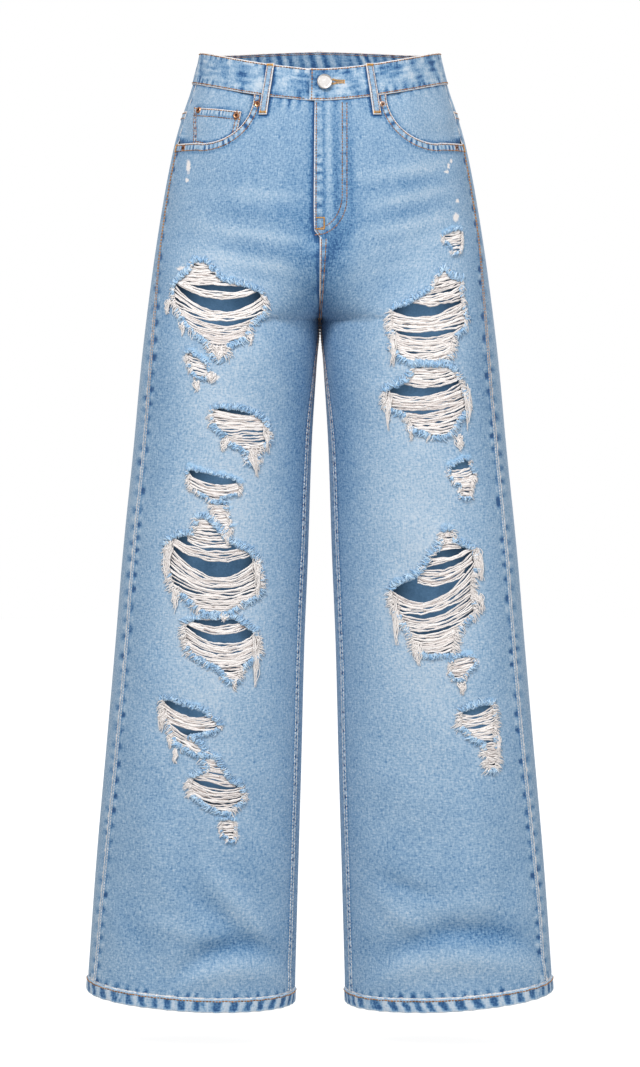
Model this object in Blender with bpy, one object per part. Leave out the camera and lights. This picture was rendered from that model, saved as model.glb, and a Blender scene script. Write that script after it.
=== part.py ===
"""Ripped wide-leg jeans, filled out as if worn, with nobody inside.

The front faces -Y, +X is the wearer's left and +Z is up. The origin is the middle of the waist opening, at the
height where the wearer's waist holds the garment. Tables are in millimetres and MM turns them into metres.

Every piece of cloth is a wall cut out of one surface, the garment's form. A place on the form is (u, z): z is the
height, and u runs round half of the front or back, from 0 at the outer side to 1 at the centre line or, below the
crotch, at the inner leg. Past 0 it goes on round the side, and past 1 across the centre or round the inner leg.
"""

import math
from collections import namedtuple

import bmesh
import bpy
import numpy as np
from mathutils import Vector
from mathutils.geometry import delaunay_2d_cdt

MM = 0.001

# Cloth walls, and the gaps that keep pieces apart
DENIM = 1.6 * MM
PATCH = 1.4 * MM
YARN_WEB = 1.0 * MM
SEAM_GAP = 0.3 * MM
LAYER_GAP = 0.8 * MM
BAND_PROUD = 1.0 * MM
HEM_PROUD = 0.8 * MM

# Heights of the main lines, at the outer side, the centre front and the centre back
WAIST_SIDE, WAIST_FRONT, WAIST_BACK = 17 * MM, -7 * MM, 27 * MM
BAND_HEIGHT = 36 * MM
CROTCH = -283 * MM
HEM_OUTER, HEM_INNER, HEM_DIP = -1053 * MM, -1067 * MM, 7 * MM
HEM_HEIGHT = 16 * MM

# Where the two thighs part from one trunk: the front and back centre seams curve down and under to the crotch
FRONT_CURVE_TOP, BACK_CURVE_TOP = -205 * MM, -160 * MM
THIGHS_START, THIGHS_DONE = -150 * MM, -330 * MM

# One half of the garment from above: how far the outer side and the inner edge are from the centre plane, where
# the middle of the side and of the inner leg lie, and how far the cloth reaches to the front and to the back
Section = namedtuple("Section", "z outer inner side_y inner_y front back")
SECTIONS = [
    Section(20, 134.5, 0.15, 4, 4, 93, 99),
    Section(-20, 144.5, 0.15, 4, 4, 98, 105),
    Section(-50, 154.5, 0.15, 4, 4, 102, 113),
    Section(-90, 166.0, 0.15, 4, 5, 106, 124),
    Section(-180, 183.0, 0.15, 6, 8, 110, 138),
    Section(-283, 197.5, 0.15, 6, 12, 108, 124),
    Section(-340, 204.0, 4.0, 4, 9, 104, 111),
    Section(-430, 212.5, 9.5, 2, 4, 96, 98),
    Section(-550, 225.0, 13.5, 0, 1, 87, 87),
    Section(-660, 234.5, 18.0, 0, 1, 81, 81),
    Section(-780, 245.5, 21.0, 2, 2, 76, 77),
    Section(-900, 256.5, 24.5, 4, 4, 72, 74),
    Section(-1060, 268.5, 29.0, 6, 6, 70, 73),
]

# The largest soft folds: middle, direction (0 lies level and 90 upright), half length and half width, and height
# (a trough is below 0). face is 1 on the front and -1 on the back
Fold = namedtuple("Fold", "face u z tilt length width height")
FOLDS = [
    Fold(1, 0.66, -930, -52, 95, 26, -5.0),
    Fold(1, 0.74, -985, -28, 85, 30, 4.0),
    Fold(1, 0.45, -1000, 16, 95, 26, -4.0),
    Fold(1, 0.40, -880, 80, 150, 32, 3.5),
    Fold(1, 0.80, -560, 86, 190, 30, -3.0),
    Fold(1, 0.30, -660, 88, 200, 34, 3.0),
    Fold(-1, 0.62, -905, 62, 120, 30, -5.0),
    Fold(-1, 0.36, -960, -58, 100, 28, 4.0),
    Fold(-1, 0.60, -560, 24, 80, 24, -4.0),
    Fold(-1, 0.66, -330, 34, 85, 20, -5.0),
    Fold(-1, 0.45, -720, 86, 180, 34, 3.0),
]

# Seams down the leg: how far the outseam lies in front of the side line, and the inseam before the inner line
Seam = namedtuple("Seam", "z out_u in_u")
SEAMS = [
    Seam(20, 0.15, 0.0),
    Seam(-283, 0.15, 0.0),
    Seam(-330, 0.155, 0.05),
    Seam(-430, 0.16, 0.095),
    Seam(-660, 0.16, 0.095),
    Seam(-1060, 0.115, 0.095),
]

# Arc lengths that turn u into metres, for laying out patterns and spacing the mesh
ARC = 0.27
U_STEP = 0.1
LEG_ROWS = [z * MM for z in (-340, -390, -440, -490, -550, -610, -670, -730, -790, -850, -910, -960, -1010)]
TRUNK_ROWS = [z * MM for z in (-60, -90, -125, -160, -195, -230, -260)]
CROTCH_ROWS = [z * MM for z in (-245, -272, -298, -318)]
CROTCH_COLUMNS = (0.75, 0.85, 0.95)
CURVE_STEPS = 7
CLEAR = 7 * MM

# Front closing: the left front laps over the right one, which runs on underneath
FLY_LAP = 6.5 * MM
FLY_UNDER = 20 * MM
FLY_END = -190 * MM
BAND_LAP_U = 0.05
BAND_UNDER_U = 0.15

# Front pocket mouth: a quarter of an ellipse, then level to the outseam. The facing behind it is set back
MOUTH_X, MOUTH_Z, MOUTH_A, MOUTH_B = 131 * MM, -33 * MM, 58 * MM, 55 * MM
MOUTH_END_Z = -87 * MM
FACING_UNDER = 14 * MM
FACING_SETBACK = DENIM + 1.8 * MM
COIN_POCKET_INSET = 2.5 * MM

# Back yokes and patch pockets, and belt loops
YOKE_SIDE, YOKE_BACK = -50 * MM, -78 * MM
POCKET_U, POCKET_TOP, POCKET_WIDTH, POCKET_DEPTH, POCKET_POINT = 0.55, -98 * MM, 148 * MM, 150 * MM, 18 * MM
LOOP_WIDTH = 10.5 * MM
LOOP_OVER = 0.5 * MM
LOOP_DROP = 20 * MM
LOOP_SIDE_U = 0.28

# Hardware
BUTTON_X, BUTTON_Z, BUTTON_RADIUS, BUTTON_THICK, BUTTON_STAND = 5 * MM, -22.5 * MM, 8.3 * MM, 1.8 * MM, 2.6 * MM
BUTTON_SHANK = 3.4 * MM
RIVET_RADIUS, RIVET_HEIGHT = 3.7 * MM, 1.3 * MM

# Rips in the fronts. Each row is a height with the torn edge's left and right x. The white weft yarns that are left
# hang across the hole in bands: a band's upper and lower yarn is given at its left end, right end and middle
Rip = namedtuple("Rip", "side rows bands")
Row = namedtuple("Row", "z left right")
Band = namedtuple("Band", "left left_top left_low right right_top right_low mid_top mid_low")
RIPS = {
    "thigh_right": Rip(-1, [
        Row(-220, -141, -128), Row(-230, -145, -119), Row(-241, -158, -109), Row(-247, -163, -85),
        Row(-254, -164, -66), Row(-266, -163, -62), Row(-279, -156, -63), Row(-287, -150, -77),
        Row(-297, -140, -81), Row(-305, -130, -85), Row(-312, -121, -104), Row(-326, -116, -104),
    ], [
        Band(-156, -220, -244, -83, -220, -247, -221, -246),
        Band(-160, -239, -242, -69, -248, -251, -254, -261),
        Band(-164, -242, -268, -62, -254, -273, -276, -285),
        Band(-160, -269, -298, -61, -275, -303, -292, -330),
    ]),
    "inner_right": Rip(-1, [
        Row(-382, -118, -107), Row(-388, -119, -75), Row(-397, -119, -64), Row(-404, -116, -58),
        Row(-412, -104, -55), Row(-421, -101, -60), Row(-426, -89, -64), Row(-444, -80, -69),
    ], [
        Band(-121, -382, -408, -55, -390, -407, -391, -408),
        Band(-117, -408, -432, -55, -408, -436, -411, -446),
    ]),
    "above_knee_right": Rip(-1, [
        Row(-451, -148, -141), Row(-457, -147, -116), Row(-463, -147, -92), Row(-470, -145, -88),
        Row(-477, -135, -89), Row(-482, -125, -110), Row(-486, -122, -112),
    ], [
        Band(-150, -451, -483, -87, -464, -483, -468, -490),
    ]),
    "knee_right": Rip(-1, [
        Row(-505, -136, -127), Row(-514, -137, -118), Row(-523, -141, -110), Row(-528, -165, -108),
        Row(-537, -169, -93), Row(-546, -169, -77), Row(-555, -170, -71), Row(-570, -167, -68),
        Row(-584, -163, -66), Row(-593, -151, -71), Row(-602, -140, -89), Row(-612, -127, -104),
    ], [
        Band(-145, -505, -531, -102, -505, -537, -506, -538),
        Band(-167, -526, -532, -75, -536, -544, -544, -553),
        Band(-169, -531, -559, -69, -549, -570, -573, -584),
        Band(-169, -560, -602, -66, -572, -602, -587, -615),
    ]),
    "below_knee_right": Rip(-1, [
        Row(-618, -138, -98), Row(-623, -149, -89), Row(-629, -151, -82), Row(-636, -151, -73),
        Row(-648, -149, -69), Row(-659, -142, -70), Row(-666, -129, -78), Row(-674, -113, -89),
        Row(-689, -102, -94),
    ], [
        Band(-151, -616, -622, -78, -618, -627, -622, -636),
        Band(-154, -622, -680, -69, -632, -680, -648, -692),
    ]),
    "shin_right": Rip(-1, [
        Row(-710, -176, -169), Row(-717, -176, -151), Row(-724, -175, -130), Row(-732, -173, -121),
        Row(-738, -170, -114), Row(-745, -168, -116), Row(-751, -166, -147), Row(-759, -160, -140),
        Row(-768, -145, -130),
    ], [
        Band(-177, -710, -732, -113, -724, -744, -731, -744),
        Band(-173, -733, -762, -125, -750, -776, -748, -770),
    ]),
    "calf_right": Rip(-1, [
        Row(-775, -131, -120), Row(-782, -128, -116), Row(-791, -125, -110), Row(-799, -145, -106),
        Row(-804, -145, -102), Row(-810, -145, -90), Row(-818, -144, -87), Row(-827, -132, -87),
        Row(-833, -123, -98), Row(-839, -111, -100),
    ], [
        Band(-139, -773, -797, -98, -781, -805, -776, -803),
        Band(-147, -798, -824, -84, -810, -842, -811, -845),
    ]),
    "thigh_left": Rip(1, [
        Row(-230, 137, 141), Row(-237, 131, 144), Row(-242, 130, 158), Row(-251, 125, 156),
        Row(-259, 112, 157), Row(-267, 99, 159), Row(-273, 81, 160), Row(-283, 79, 163),
        Row(-294, 79, 159), Row(-303, 83, 149), Row(-312, 82, 146), Row(-325, 90, 141),
    ], [
        Band(107, -235, -266, 160, -227, -259, -232, -268),
        Band(78, -274, -294, 161, -261, -289, -282, -297),
        Band(81, -296, -328, 159, -291, -328, -305, -330),
    ]),
    "mid_left": Rip(1, [
        Row(-335, 106, 142), Row(-344, 102, 151), Row(-353, 99, 156), Row(-360, 80, 157),
        Row(-365, 73, 159), Row(-377, 74, 163), Row(-383, 77, 164), Row(-389, 96, 159),
        Row(-397, 100, 152), Row(-406, 103, 148), Row(-414, 124, 138),
    ], [
        Band(96, -334, -356, 155, -332, -350, -335, -360),
        Band(72, -362, -384, 161, -351, -379, -370, -385),
        Band(92, -387, -412, 159, -374, -412, -389, -416),
    ]),
    "knee_left": Rip(1, [
        Row(-519, 138, 145), Row(-533, 137, 148), Row(-541, 132, 170), Row(-551, 123, 173),
        Row(-562, 117, 173), Row(-572, 108, 170), Row(-580, 88, 169), Row(-587, 80, 169),
        Row(-602, 81, 170), Row(-611, 85, 173), Row(-620, 92, 164), Row(-631, 99, 152),
        Row(-642, 103, 151), Row(-654, 109, 148), Row(-662, 121, 146),
    ], [
        Band(117, -519, -560, 170, -519, -541, -519, -554),
        Band(112, -560, -579, 168, -544, -569, -563, -581),
        Band(79, -585, -607, 170, -555, -587, -599, -611),
        Band(81, -608, -627, 170, -589, -611, -619, -631),
        Band(90, -629, -662, 166, -614, -662, -637, -664),
    ]),
    "shin_left": Rip(1, [
        Row(-716, 182, 192), Row(-723, 159, 194), Row(-732, 157, 195), Row(-741, 158, 196),
        Row(-746, 166, 195), Row(-753, 172, 195), Row(-760, 185, 196), Row(-775, 185, 198),
        Row(-791, 188, 195),
    ], [
        Band(152, -725, -760, 198, -712, -760, -724, -760),
        Band(183, -760, -792, 202, -760, -792, -761, -793),
    ]),
}
TORN_EDGE_GAP = 0.5 * MM
NARROWEST_GAP = 1.6 * MM
GAP_STATIONS = 7
GAP_MARGIN = 2.0

# Colours and surfaces: base colour, roughness and metallic value
COLOURS = {
    "denim": ((0.36, 0.52, 0.70), 0.85, 0.0),
    "yarn": ((0.88, 0.84, 0.80), 0.9, 0.0),
    "copper": ((0.72, 0.42, 0.26), 0.4, 1.0),
    "steel": ((0.72, 0.70, 0.68), 0.35, 1.0),
}


# ---------------------------------------------------------------- the form

def table_curve(heights, values):
    """A smooth curve through a table of values at falling heights, with no swing past a value.

    It goes on straight beyond both ends.
    """
    x = np.array(heights, float)[::-1]
    y = np.array(values, float)[::-1]
    secant = np.diff(y) / np.diff(x)
    before, after = secant[:-1], secant[1:]
    both = before * after
    inner = np.where(both > 0, 2 * both / np.where(both > 0, before + after, 1), 0.0)
    slope = np.concatenate([secant[:1], inner, secant[-1:]])

    def at(z):
        z = np.asarray(z, float)
        inside = np.clip(z, x[0], x[-1])
        i = np.clip(np.searchsorted(x, inside) - 1, 0, len(x) - 2)
        width = x[i + 1] - x[i]
        t = (inside - x[i]) / width
        start = (2 * t**3 - 3 * t**2 + 1) * y[i] + (t**3 - 2 * t**2 + t) * width * slope[i]
        end = (3 * t**2 - 2 * t**3) * y[i + 1] + (t**3 - t**2) * width * slope[i + 1]
        end_slope = np.where(z < x[0], slope[0], slope[-1])
        return start + end + (z - inside) * end_slope

    return at


def columns(table):
    heights = [row.z * MM for row in table]
    return {name: table_curve(heights, [getattr(row, name) for row in table]) for name in table[0]._fields[1:]}


SHAPE = columns(SECTIONS)
SEAM_LINES = columns(SEAMS)


def smoothstep(t):
    t = np.clip(t, 0, 1)
    return t * t * (3 - 2 * t)


def centre_reach(face, z):
    """How far forward or back the centre seam still is, as a share: 1 on the trunk, 0 at the crotch."""
    top = np.where(face > 0, FRONT_CURVE_TOP, BACK_CURVE_TOP)
    along = np.clip((top - z) / (top - CROTCH), 0, 1)
    return np.sqrt(1 - along**2)


def fold_height(face, u, z):
    """The soft folds, as a distance out of the form. They fade out at the side and the inner leg."""
    total = np.zeros_like(u)
    for fold in FOLDS:
        tilt = math.radians(fold.tilt)
        across = (fold.u - u) * ARC
        up = z - fold.z * MM
        along = (across * math.cos(tilt) + up * math.sin(tilt)) / (fold.length * MM)
        aside = (up * math.cos(tilt) - across * math.sin(tilt)) / (fold.width * MM)
        total += np.where(face == fold.face, fold.height * MM * np.exp(-(along**2) - aside**2), 0)
    return total * np.clip(np.sin(np.clip(u, 0, 1) * math.pi), 0, 1)


def wrapped(side, face, u, z):
    """side, face and u of the same place, with u from 0 to 1."""
    side, face, u, z = np.broadcast_arrays(side, face, np.asarray(u, float), np.asarray(z, float))
    past_side = u < 0
    past_centre = (u > 1) & (z >= CROTCH)
    past_leg = (u > 1) & (z < CROTCH)
    new_side = np.where(past_centre, -side, side)
    new_face = np.where(past_side | past_leg, -face, face)
    return new_side, new_face, np.where(u < 0, -u, np.where(u > 1, 2 - u, u)), z


def bare_point(side, face, u, z):
    """The form without folds, for places that are already wrapped."""
    thigh = smoothstep((THIGHS_START - z) / (THIGHS_START - THIGHS_DONE))
    trunk_turn, leg_turn = u * math.pi / 2, u * math.pi
    across = (1 - thigh) * (1 - np.cos(trunk_turn)) + thigh * (1 - np.cos(leg_turn)) / 2
    reach = (1 - thigh) * np.sin(trunk_turn) + thigh * np.sin(leg_turn)
    edge = np.where(z > CROTCH, centre_reach(face, z), 0.0)
    reach = reach + (edge - (1 - thigh)) * np.where(u > 0.5, 1 - np.sin(leg_turn), 0)
    depth = np.where(face > 0, SHAPE["front"](z), SHAPE["back"](z)) * MM
    outer, inner = SHAPE["outer"](z) * MM, SHAPE["inner"](z) * MM
    middle = (SHAPE["side_y"](z) * (1 - across) + SHAPE["inner_y"](z) * across) * MM
    x = side * (outer + (inner - outer) * across)
    return np.stack([x, middle - face * depth * reach, z + np.zeros_like(x)], axis=-1)


def surface(side, face, u, z, out=0.0):
    """Points of the form, moved out of it by a distance."""
    side, face, u, z = wrapped(side, face, u, z)
    step_u, step_z = 0.004, 0.8 * MM
    along_u = bare_point(side, face, u + step_u, z) - bare_point(side, face, u - step_u, z)
    along_z = bare_point(side, face, u, z + step_z) - bare_point(side, face, u, z - step_z)
    normal = np.cross(along_u, along_z) * (-side * face)[..., None]
    normal /= np.linalg.norm(normal, axis=-1, keepdims=True)
    height = fold_height(face, u, z) + out
    return bare_point(side, face, u, z) + normal * height[..., None]


def u_at(x, z, face=1):
    """u of the place on the front, or the back, that is x to the side at height z. x is above 0."""
    u = np.linspace(0, 1, 241)
    across = bare_point(np.ones(241), np.full(241, face), u, np.full(241, z))[:, 0]
    return float(np.interp(-x, -across, u))


# ---------------------------------------------------------------- seam lines

def waist_top(face, u):
    """Height of the waistband's upper edge. It dips at the front and rises at the back."""
    in_front = (face > 0) == (np.asarray(u) >= 0)
    centre = np.where(in_front, WAIST_FRONT, WAIST_BACK)
    return centre + (WAIST_SIDE - centre) * np.abs(np.cos(np.asarray(u) * math.pi / 2)) ** 1.6


def waist_seam(face, u):
    return waist_top(face, u) - BAND_HEIGHT


def hem_line(u):
    turn = np.asarray(u) * math.pi
    return HEM_OUTER + (HEM_INNER - HEM_OUTER) * (1 - np.cos(turn)) / 2 - HEM_DIP * np.abs(np.sin(turn))


def outseam_u(z):
    return float(SEAM_LINES["out_u"](z))


def inseam_u(z):
    return float(np.where(z < CROTCH, SEAM_LINES["in_u"](z), 0.0))


def steps(start, end, step):
    """Places from start to end that fall on multiples of step, with both ends."""
    low, high = min(start, end), max(start, end)
    inner = [i * step for i in range(math.ceil(low / step), math.floor(high / step) + 1)]
    inner = [value for value in inner if min(value - low, high - value) > 0.3 * step]
    return [start, *(inner if start < end else inner[::-1]), end]


def rows_between(top, bottom):
    return [z for z in TRUNK_ROWS + [CROTCH] + LEG_ROWS if bottom + 12 * MM < z < top - 8 * MM]


def centre_heights(face, top):
    """Heights down the centre seam from top to the crotch, closer together where it curves under."""
    start = FRONT_CURVE_TOP if face > 0 else BACK_CURVE_TOP
    straight = [z for z in TRUNK_ROWS if start + 10 * MM < z < top - 8 * MM]
    turns = [math.radians(90 * i / CURVE_STEPS) for i in range(CURVE_STEPS + 1)]
    return straight + [start + (CROTCH - start) * math.sin(turn) for turn in turns]


def inseam_points(past):
    """The inseam from just under the crotch to the hem: past is -1 on the front's side, 1 on the back's."""
    foot = float(hem_line(1 - inseam_u(HEM_INNER))) + HEM_HEIGHT
    return [(1 + past * inseam_u(z), z) for z in [*LEG_ROWS, foot]]


def outseam_points(sign, bottom, top):
    """The outseam from bottom up to top: sign is 1 in the front's u and -1 in the back's."""
    heights = [bottom, *reversed(rows_between(top, bottom)), top]
    return [(sign * outseam_u(z), z) for z in heights]


def hem_seam_points(start, end):
    return [(u, float(hem_line(u)) + HEM_HEIGHT) for u in steps(start, end, U_STEP)]


# ---------------------------------------------------------------- cloth walls

Sheet = namedtuple("Sheet", "side face u z triangles sunk")


def inset(points, distance):
    """A closed outline in (u, z), moved in by a distance, with its corners kept."""
    flat = np.array([(u * ARC, z) for u, z in points])
    area = sum(a[0] * b[1] - b[0] * a[1] for a, b in zip(flat, np.roll(flat, -1, axis=0)))
    before = flat - np.roll(flat, 1, axis=0)
    after = np.roll(flat, -1, axis=0) - flat
    turned = []
    for edge in (before, after):
        edge = edge / np.linalg.norm(edge, axis=1, keepdims=True)
        turned.append(np.stack([-edge[:, 1], edge[:, 0]], axis=1) * np.sign(area))
    middle = turned[0] + turned[1]
    middle /= np.maximum((middle * turned[0]).sum(axis=1, keepdims=True), 0.35)
    moved = flat + middle * distance
    return [(x / ARC, z) for x, z in moved]


def inside(points, outline):
    """Which points lie inside a closed outline."""
    x, y = points[:, 0], points[:, 1]
    result = np.zeros(len(points), bool)
    for (ax, ay), (bx, by) in zip(outline, np.roll(outline, -1, axis=0)):
        if ay == by:
            continue
        crosses = ((ay > y) != (by > y)) & (x < (bx - ax) * (y - ay) / (by - ay) + ax)
        result ^= crosses
    return result


def distance_to(points, outline):
    """Shortest distance from each point to a closed outline."""
    best = np.full(len(points), 1e9)
    for a, b in zip(outline, np.roll(outline, -1, axis=0)):
        along = b - a
        share = np.clip(((points - a) @ along) / max(along @ along, 1e-18), 0, 1)
        best = np.minimum(best, np.linalg.norm(points - a - share[:, None] * along, axis=1))
    return best


def flattened(loop):
    return np.array([(u * ARC, z) for u, z in loop]).reshape(-1, 2)


def triangulated(outline, holes, marks, grid):
    """Points and triangles that fill an outline less its holes, with edges along the marks.

    Grid points too near an edge are left out.
    """
    edge, holes, marks = flattened(outline), [flattened(h) for h in holes], [flattened(m) for m in marks]
    loops = [edge, *holes, *marks]
    inner = flattened(grid)
    keep = inside(inner, edge)
    for loop in holes:
        keep &= ~inside(inner, loop)
    for loop in loops:
        keep &= distance_to(inner, loop) > CLEAR
    points = np.concatenate([*loops, inner[keep]])
    edges, start = [], 0
    for loop in loops:
        edges += [(start + i, start + (i + 1) % len(loop)) for i in range(len(loop))]
        start += len(loop)
    made = delaunay_2d_cdt([Vector(p) for p in points], edges, [], 0, 1e-7)
    flat = np.array([tuple(p) for p in made[0]])
    triangles = np.array(made[2])
    corners = flat[triangles]
    to_b, to_c = corners[:, 1] - corners[:, 0], corners[:, 2] - corners[:, 0]
    wanted = np.abs(to_b[:, 0] * to_c[:, 1] - to_b[:, 1] * to_c[:, 0]) > 1e-10
    middles = corners.mean(axis=1)
    wanted &= inside(middles, edge)
    for loop in holes:
        wanted &= ~inside(middles, loop)
    return only_used(flat[:, 0] / ARC, flat[:, 1], triangles[wanted])


def only_used(u, z, triangles):
    """The same triangles, with the points that none of them uses left out."""
    used = np.unique(triangles)
    renumbered = np.zeros(len(u), int)
    renumbered[used] = np.arange(len(used))
    return u[used], z[used], renumbered[triangles]


def grid_points(first, last, heights):
    """A grid over a panel, closer together by the crotch, where the form turns quickest."""
    columns_at = [first + i * U_STEP for i in range(round((last - first) / U_STEP) + 1)]
    fine = [(u, z) for z in CROTCH_ROWS for u in CROTCH_COLUMNS if min(heights) < z < max(heights)]
    return [(u, z) for z in heights for u in columns_at] + fine


def rim_edges(triangles):
    """Edges that only one triangle uses, in that triangle's direction."""
    directed = {(t[i], t[(i + 1) % 3]) for t in triangles.tolist() for i in range(3)}
    return [(a, b) for a, b in directed if (b, a) not in directed]


def material(name):
    found = bpy.data.materials.get(name)
    if found:
        return found
    colour, roughness, metallic = COLOURS[name]
    made = bpy.data.materials.new(name)
    made.use_nodes = True
    shader = made.node_tree.nodes["Principled BSDF"]
    shader.inputs["Base Color"].default_value = (*colour, 1)
    shader.inputs["Roughness"].default_value = roughness
    shader.inputs["Metallic"].default_value = metallic
    return made


def add_object(name, points, faces, material_name, smooth_below=40):
    mesh = bpy.data.meshes.new(name)
    mesh.from_pydata([tuple(p) for p in points], [], [tuple(f) for f in faces])
    shape = bmesh.new()
    shape.from_mesh(mesh)
    bmesh.ops.recalc_face_normals(shape, faces=shape.faces)
    shape.to_mesh(mesh)
    shape.free()
    mesh.shade_smooth()
    mesh.set_sharp_from_angle(angle=math.radians(smooth_below))
    made = bpy.data.objects.new(name, mesh)
    made.data.materials.append(material(material_name))
    bpy.context.scene.collection.objects.link(made)
    return made


def cloth(name, side, face, outline, holes=(), marks=(), grid=(), top=0.0, wall=DENIM, sink=None, look="denim"):
    """A wall of cloth cut out of the form. top is its outer face's height and sink(u, z) lowers it."""
    outline = inset(outline, SEAM_GAP / 2)
    u, z, triangles = triangulated(outline, holes, marks, grid)
    sheet = Sheet(side, face, u, z, triangles, sink(u, z) if sink else np.zeros_like(u))
    wall_of(name, sheet, top, wall, look)
    return sheet


def wall_of(name, sheet, top, wall, look="denim"):
    """The closed wall between a sheet moved out by top and the same sheet one wall lower."""
    places = (sheet.side, sheet.face, sheet.u, sheet.z)
    outside = surface(*places, top - sheet.sunk)
    lining = surface(*places, top - wall - sheet.sunk)
    count = len(sheet.u)
    triangles = sheet.triangles
    faces = [tuple(t) for t in triangles.tolist()]
    faces += [(c + count, b + count, a + count) for a, b, c in triangles.tolist()]
    faces += [(b, a, a + count, b + count) for a, b in rim_edges(triangles)]
    add_object(name, np.concatenate([outside, lining]), faces, look)


def patch(name, sheet, loop):
    """A piece sewn on a panel: the panel's triangles inside a marked loop, moved out."""
    flat = np.stack([sheet.u * ARC, sheet.z], axis=1)
    wanted = inside(flat[sheet.triangles].mean(axis=1), flattened(loop))
    used = np.unique(sheet.triangles[wanted])
    u, z, triangles = only_used(sheet.u, sheet.z, sheet.triangles[wanted])
    wall_of(name, Sheet(sheet.side, sheet.face, u, z, triangles, sheet.sunk[used]), LAYER_GAP + PATCH, PATCH)


def on_sheet(sheet, u, z, lift):
    """The point over a sheet's triangle at (u, z), and the triangle's outward normal."""
    corners = surface(sheet.side, sheet.face, sheet.u, sheet.z, -sheet.sunk)
    flat = np.stack([sheet.u * ARC, sheet.z], axis=1)[sheet.triangles]
    a, b, c = flat[:, 0], flat[:, 1] - flat[:, 0], flat[:, 2] - flat[:, 0]
    area = b[:, 0] * c[:, 1] - b[:, 1] * c[:, 0]
    to = np.array([u * ARC, z]) - a
    share_b = (to[:, 0] * c[:, 1] - to[:, 1] * c[:, 0]) / area
    share_c = (b[:, 0] * to[:, 1] - b[:, 1] * to[:, 0]) / area
    found = int(np.argmax(np.minimum(np.minimum(share_b, share_c), 1 - share_b - share_c)))
    p, q, r = (Vector(corners[i]) for i in sheet.triangles[found])
    foot = p + (q - p) * share_b[found] + (r - p) * share_c[found]
    normal = (q - p).cross(r - p).normalized()
    outward = Vector(surface(sheet.side, sheet.face, u, z, 1 * MM) - surface(sheet.side, sheet.face, u, z))
    normal = normal if normal.dot(outward) > 0 else -normal
    return foot + normal * lift, normal


# ---------------------------------------------------------------- rips

def rip_outline(rip, grow=0.0):
    """The torn edge as a closed loop in (u, z)."""
    left = [(row.left * MM, row.z * MM) for row in rip.rows]
    right = [(row.right * MM, row.z * MM) for row in rip.rows]
    loop = [(u_at(abs(x), z), z) for x, z in left + right[::-1]]
    return inset(loop, -grow) if grow else loop


def yarn_height(band, x, low):
    """Height at x of a band's upper or lower yarn, which hangs as a parabola."""
    left, right = (band.left_low, band.right_low) if low else (band.left_top, band.right_top)
    middle = band.mid_low if low else band.mid_top
    t = (x - band.left) / (band.right - band.left)
    return left * (1 - t) * (1 - 2 * t) + middle * 4 * t * (1 - t) + right * t * (2 * t - 1)


def rip_reach(rip, z):
    heights = [row.z for row in rip.rows][::-1]
    left = np.interp(z, heights, [row.left for row in rip.rows][::-1])
    right = np.interp(z, heights, [row.right for row in rip.rows][::-1])
    return left, right


def yarn_gaps(rip):
    """The open slits between a rip's bands of yarn, as closed loops in (u, z)."""
    gaps = []
    for upper, lower in zip(rip.bands, rip.bands[1:]):
        stations = np.linspace(max(upper.left, lower.left), min(upper.right, lower.right), 4 * GAP_STATIONS)
        roof, floor = yarn_height(upper, stations, True), yarn_height(lower, stations, False)
        left_a, right_a = rip_reach(rip, roof)
        left_b, right_b = rip_reach(rip, floor)
        open_here = (roof - floor) * MM > NARROWEST_GAP
        open_here &= stations > np.maximum(left_a, left_b) + GAP_MARGIN
        open_here &= stations < np.minimum(right_a, right_b) - GAP_MARGIN
        if open_here.sum() < 4:
            continue
        ends = stations[open_here][[0, -1]]
        x = np.linspace(ends[0], ends[1], GAP_STATIONS)
        above = [(v, h) for v, h in zip(x, yarn_height(upper, x, True))]
        below = [(v, h) for v, h in zip(x, yarn_height(lower, x, False))]
        loop = [(u_at(abs(v) * MM, h * MM), h * MM) for v, h in above + below[::-1]]
        gaps.append(loop)
    return gaps


def rips_of(side):
    return {name: rip for name, rip in RIPS.items() if rip.side == side}


# ---------------------------------------------------------------- panels

def mouth_points(grow=0.0):
    """The pocket mouth in (x, z), from the waist seam round and down to the outseam."""
    a, b = MOUTH_A + grow, MOUTH_B + grow
    turns = [math.radians(10 * i) for i in range(10)]
    curve = [(MOUTH_X - a * math.cos(t), MOUTH_Z - b * math.sin(t)) for t in turns]
    return [(x, z) for x, z in curve if z < float(waist_seam(1, u_at(x, z))) - 1 * MM]


def mouth_start():
    """Where the mouth leaves the waist seam."""
    x = MOUTH_X - MOUTH_A + 0.6 * MM
    u = u_at(x, -38 * MM)
    return (u, float(waist_seam(1, u)))


def fly_depth(u, z):
    """How far the right front sinks so as to pass under the left one at the fly."""
    lap = smoothstep((u - 0.915) / 0.045)
    return (DENIM + LAYER_GAP) * lap * smoothstep((z - (FLY_END - 26 * MM)) / (24 * MM))


def centre_front(side):
    """The front panel's centre edge, from the waist seam down to the crotch."""
    past = FLY_LAP if side > 0 else FLY_UNDER
    points = []
    top_u = 1 + past / ARC
    for z in centre_heights(1, float(waist_seam(1, 1.0))):
        points.append((top_u if z > FLY_END else 1.0, z))
    lowest = max(i for i, (u, z) in enumerate(points) if u > 1)
    points.insert(lowest + 1, (top_u, FLY_END + 4 * MM))
    points.insert(lowest + 2, (1.0, FLY_END - 4 * MM if side > 0 else FLY_END + 2 * MM))
    return [(top_u, float(waist_seam(1, 1.0)))] + points


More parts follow.
